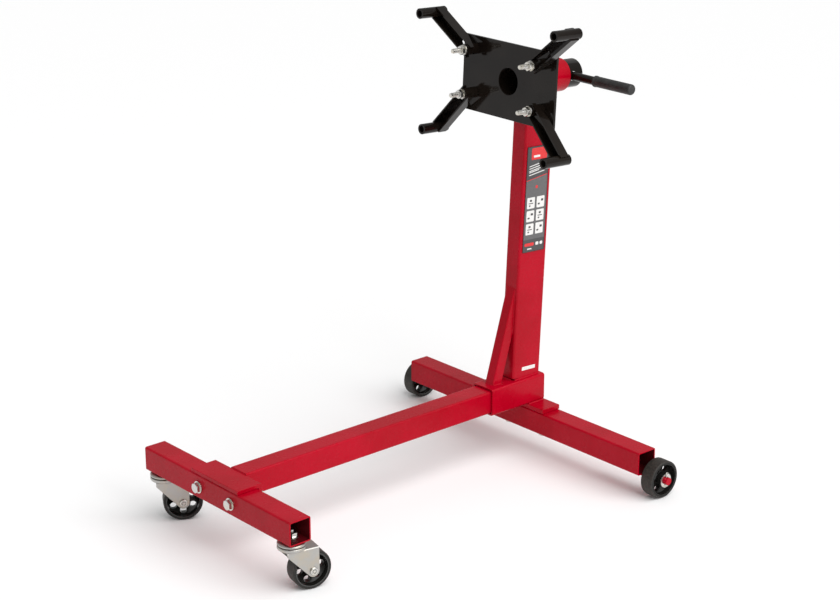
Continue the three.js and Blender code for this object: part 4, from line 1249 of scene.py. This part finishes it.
GREY, SLATE, RED, WHITE = range(4)
thick = label_high.x - label_low.x
LINE_SLANT = radians(9)
panel = sticker("panel", (0, 1), (0, 1), -thick, 1.5 * MM, 0, GREY)
field = sticker("field", (0.0, 1.0), (0.12, 0.78), PRINT_T, 0, 0, SLATE)
slice_off(field, (0, (label_low.y + label_high.y) / 2, label_low.z + 0.700 * label_h),
          (0, -sin(LINE_SLANT), cos(LINE_SLANT)), fill=True)
print_pieces = [
    panel,
    field,
    sticker("red_block", (0.20, 0.92), (0.875, 0.985), PRINT_T, 2.5 * MM, 0, RED),
    sticker("pale_mark", (0.30, 0.60), (0.895, 0.915), PRINT_T, 1.2 * MM, 1, WHITE),
    sticker("red_line", (0.01, 0.99), (0.699, 0.705), PRINT_T, 0, 1, RED, LINE_SLANT),
    sticker("red_pill", (0.08, 0.52), (0.055, 0.085), PRINT_T, 2.5 * MM, 0, RED),
    sticker("pale_pill", (0.60, 0.74), (0.055, 0.085), PRINT_T, 2 * MM, 0, WHITE),
    sticker("pale_pill_two", (0.80, 0.92), (0.055, 0.085), PRINT_T, 2 * MM, 0, WHITE),
    sticker("pale_bar", (0.22, 0.42), (0.022, 0.034), PRINT_T, 0, 0, WHITE),
    sticker("dot", (0.46, 0.56), (0.60, 0.63), PRINT_T, 2.5 * MM, 1, RED),
]
for line, end in enumerate((0.70, 0.82, 0.88, 0.58, 0.84)):
    top = 0.830 - line * 0.020
    print_pieces.append(sticker("bar", (0.12, end), (top - 0.008, top), PRINT_T, 0, 0, WHITE, LINE_SLANT))
TILE_W, TILE_H = 0.36, 0.105
for row in range(3):
    for column in range(2):
        left, bottom = 0.10 + column * 0.45, 0.415 - row * 0.125
        tile = sticker("tile", (left, left + TILE_W), (bottom, bottom + TILE_H), PRINT_T, 2 * MM, 1, WHITE)
        print_pieces.append(tile)
        shapes = [((0.15, 0.42), (0.25, 0.40)), ((0.55, 0.85), (0.55, 0.75))] if (row + column) % 2 else [
            ((0.20, 0.80), (0.42, 0.50)), ((0.35, 0.62), (0.62, 0.80)), ((0.25, 0.45), (0.18, 0.32))]
        for across, along in shapes:
            print_pieces.append(sticker(
                "shape", [left + share * TILE_W for share in across],
                [bottom + share * TILE_H for share in along], PRINT_T, 0.8 * MM, 2, GREY))
label = move_to(gather("mast_label_fine", print_pieces), mast_frame)
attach(label, "root")
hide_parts("mast_label")

TAG_W, TAG_H, TAG_UP, TAG_BEHIND = 39 * MM, 8 * MM, 16 * MM, 26 * MM
tag_low = Vector((mast_half_w, -mast_half_d + TAG_BEHIND, TAG_UP))
tag = block("foot_tag", tag_low, tag_low + Vector((0.25 * MM, TAG_W, TAG_H)))
pick_edges(tag, lambda a, b: abs(a.x - b.x) > 0.1 * MM)
bevel(1 * MM, 4)
dress(move_to(tag, mast_frame), "root", "label_film", film_white)
print("label", round(label_w / MM), "by", round(label_h / MM), "mm")

# %% [markdown]
# ## Studio
# A pale floor that runs to the horizon under an even sky, with light from a wide wall of windows on the right and a
# small softbox for the edges. The camera stands where a person would, a little above the head, with a long lens.

# %% Floor, lights and camera
AIM = Vector((-0.0264, 0.0775, 0.3945))
AZIMUTH, ELEVATION, DISTANCE, LENS = radians(48.76), radians(19.25), 4.2, 87.6


def from_aim(azimuth, elevation, distance):
    out = Vector((sin(azimuth) * cos(elevation), -cos(azimuth) * cos(elevation), sin(elevation)))
    return AIM + out * distance


def look(thing, place):
    thing.location = place
    thing.rotation_euler = (AIM - place).to_track_quat("-Z", "Y").to_euler()
    bpy.context.scene.collection.objects.link(thing)


bpy.ops.object.select_all(action="DESELECT")
bpy.ops.mesh.primitive_plane_add(size=60, location=(0, 0, -0.5 * MM))
floor = named("studio_floor")
floor_paint = Finish("studio_floor_paint")
floor.data.materials.append(floor_paint.set(Base_Color=(0.96, 0.96, 0.96, 1), Roughness=0.6))


def softbox(name, azimuth, elevation, distance, size, power):
    light = bpy.data.lights.new(name, "AREA")
    light.shape, light.size, light.energy = "DISK", size, power
    look(bpy.data.objects.new(name, light), from_aim(radians(azimuth), radians(elevation), distance))


sun = bpy.data.lights.new("window_wall", "SUN")
sun.angle, sun.energy = radians(70), 2.5
look(bpy.data.objects.new("window_wall", sun), from_aim(radians(100), radians(50), 6.0))
softbox("edge_softbox", azimuth=78, elevation=30, distance=3.4, size=1.0, power=12)

world = bpy.data.worlds.new("studio_sky")
world.use_nodes = True
world.node_tree.nodes["Background"].inputs["Color"].default_value = (1, 1, 1, 1)
world.node_tree.nodes["Background"].inputs["Strength"].default_value = 0.48
bpy.context.scene.world = world
bpy.context.scene.view_settings.view_transform = "Standard"

camera = bpy.data.cameras.new("camera")
camera.lens, camera.sensor_width = LENS, 36
camera_object = bpy.data.objects.new("camera", camera)
look(camera_object, from_aim(AZIMUTH, ELEVATION, DISTANCE))
bpy.context.scene.camera = camera_object
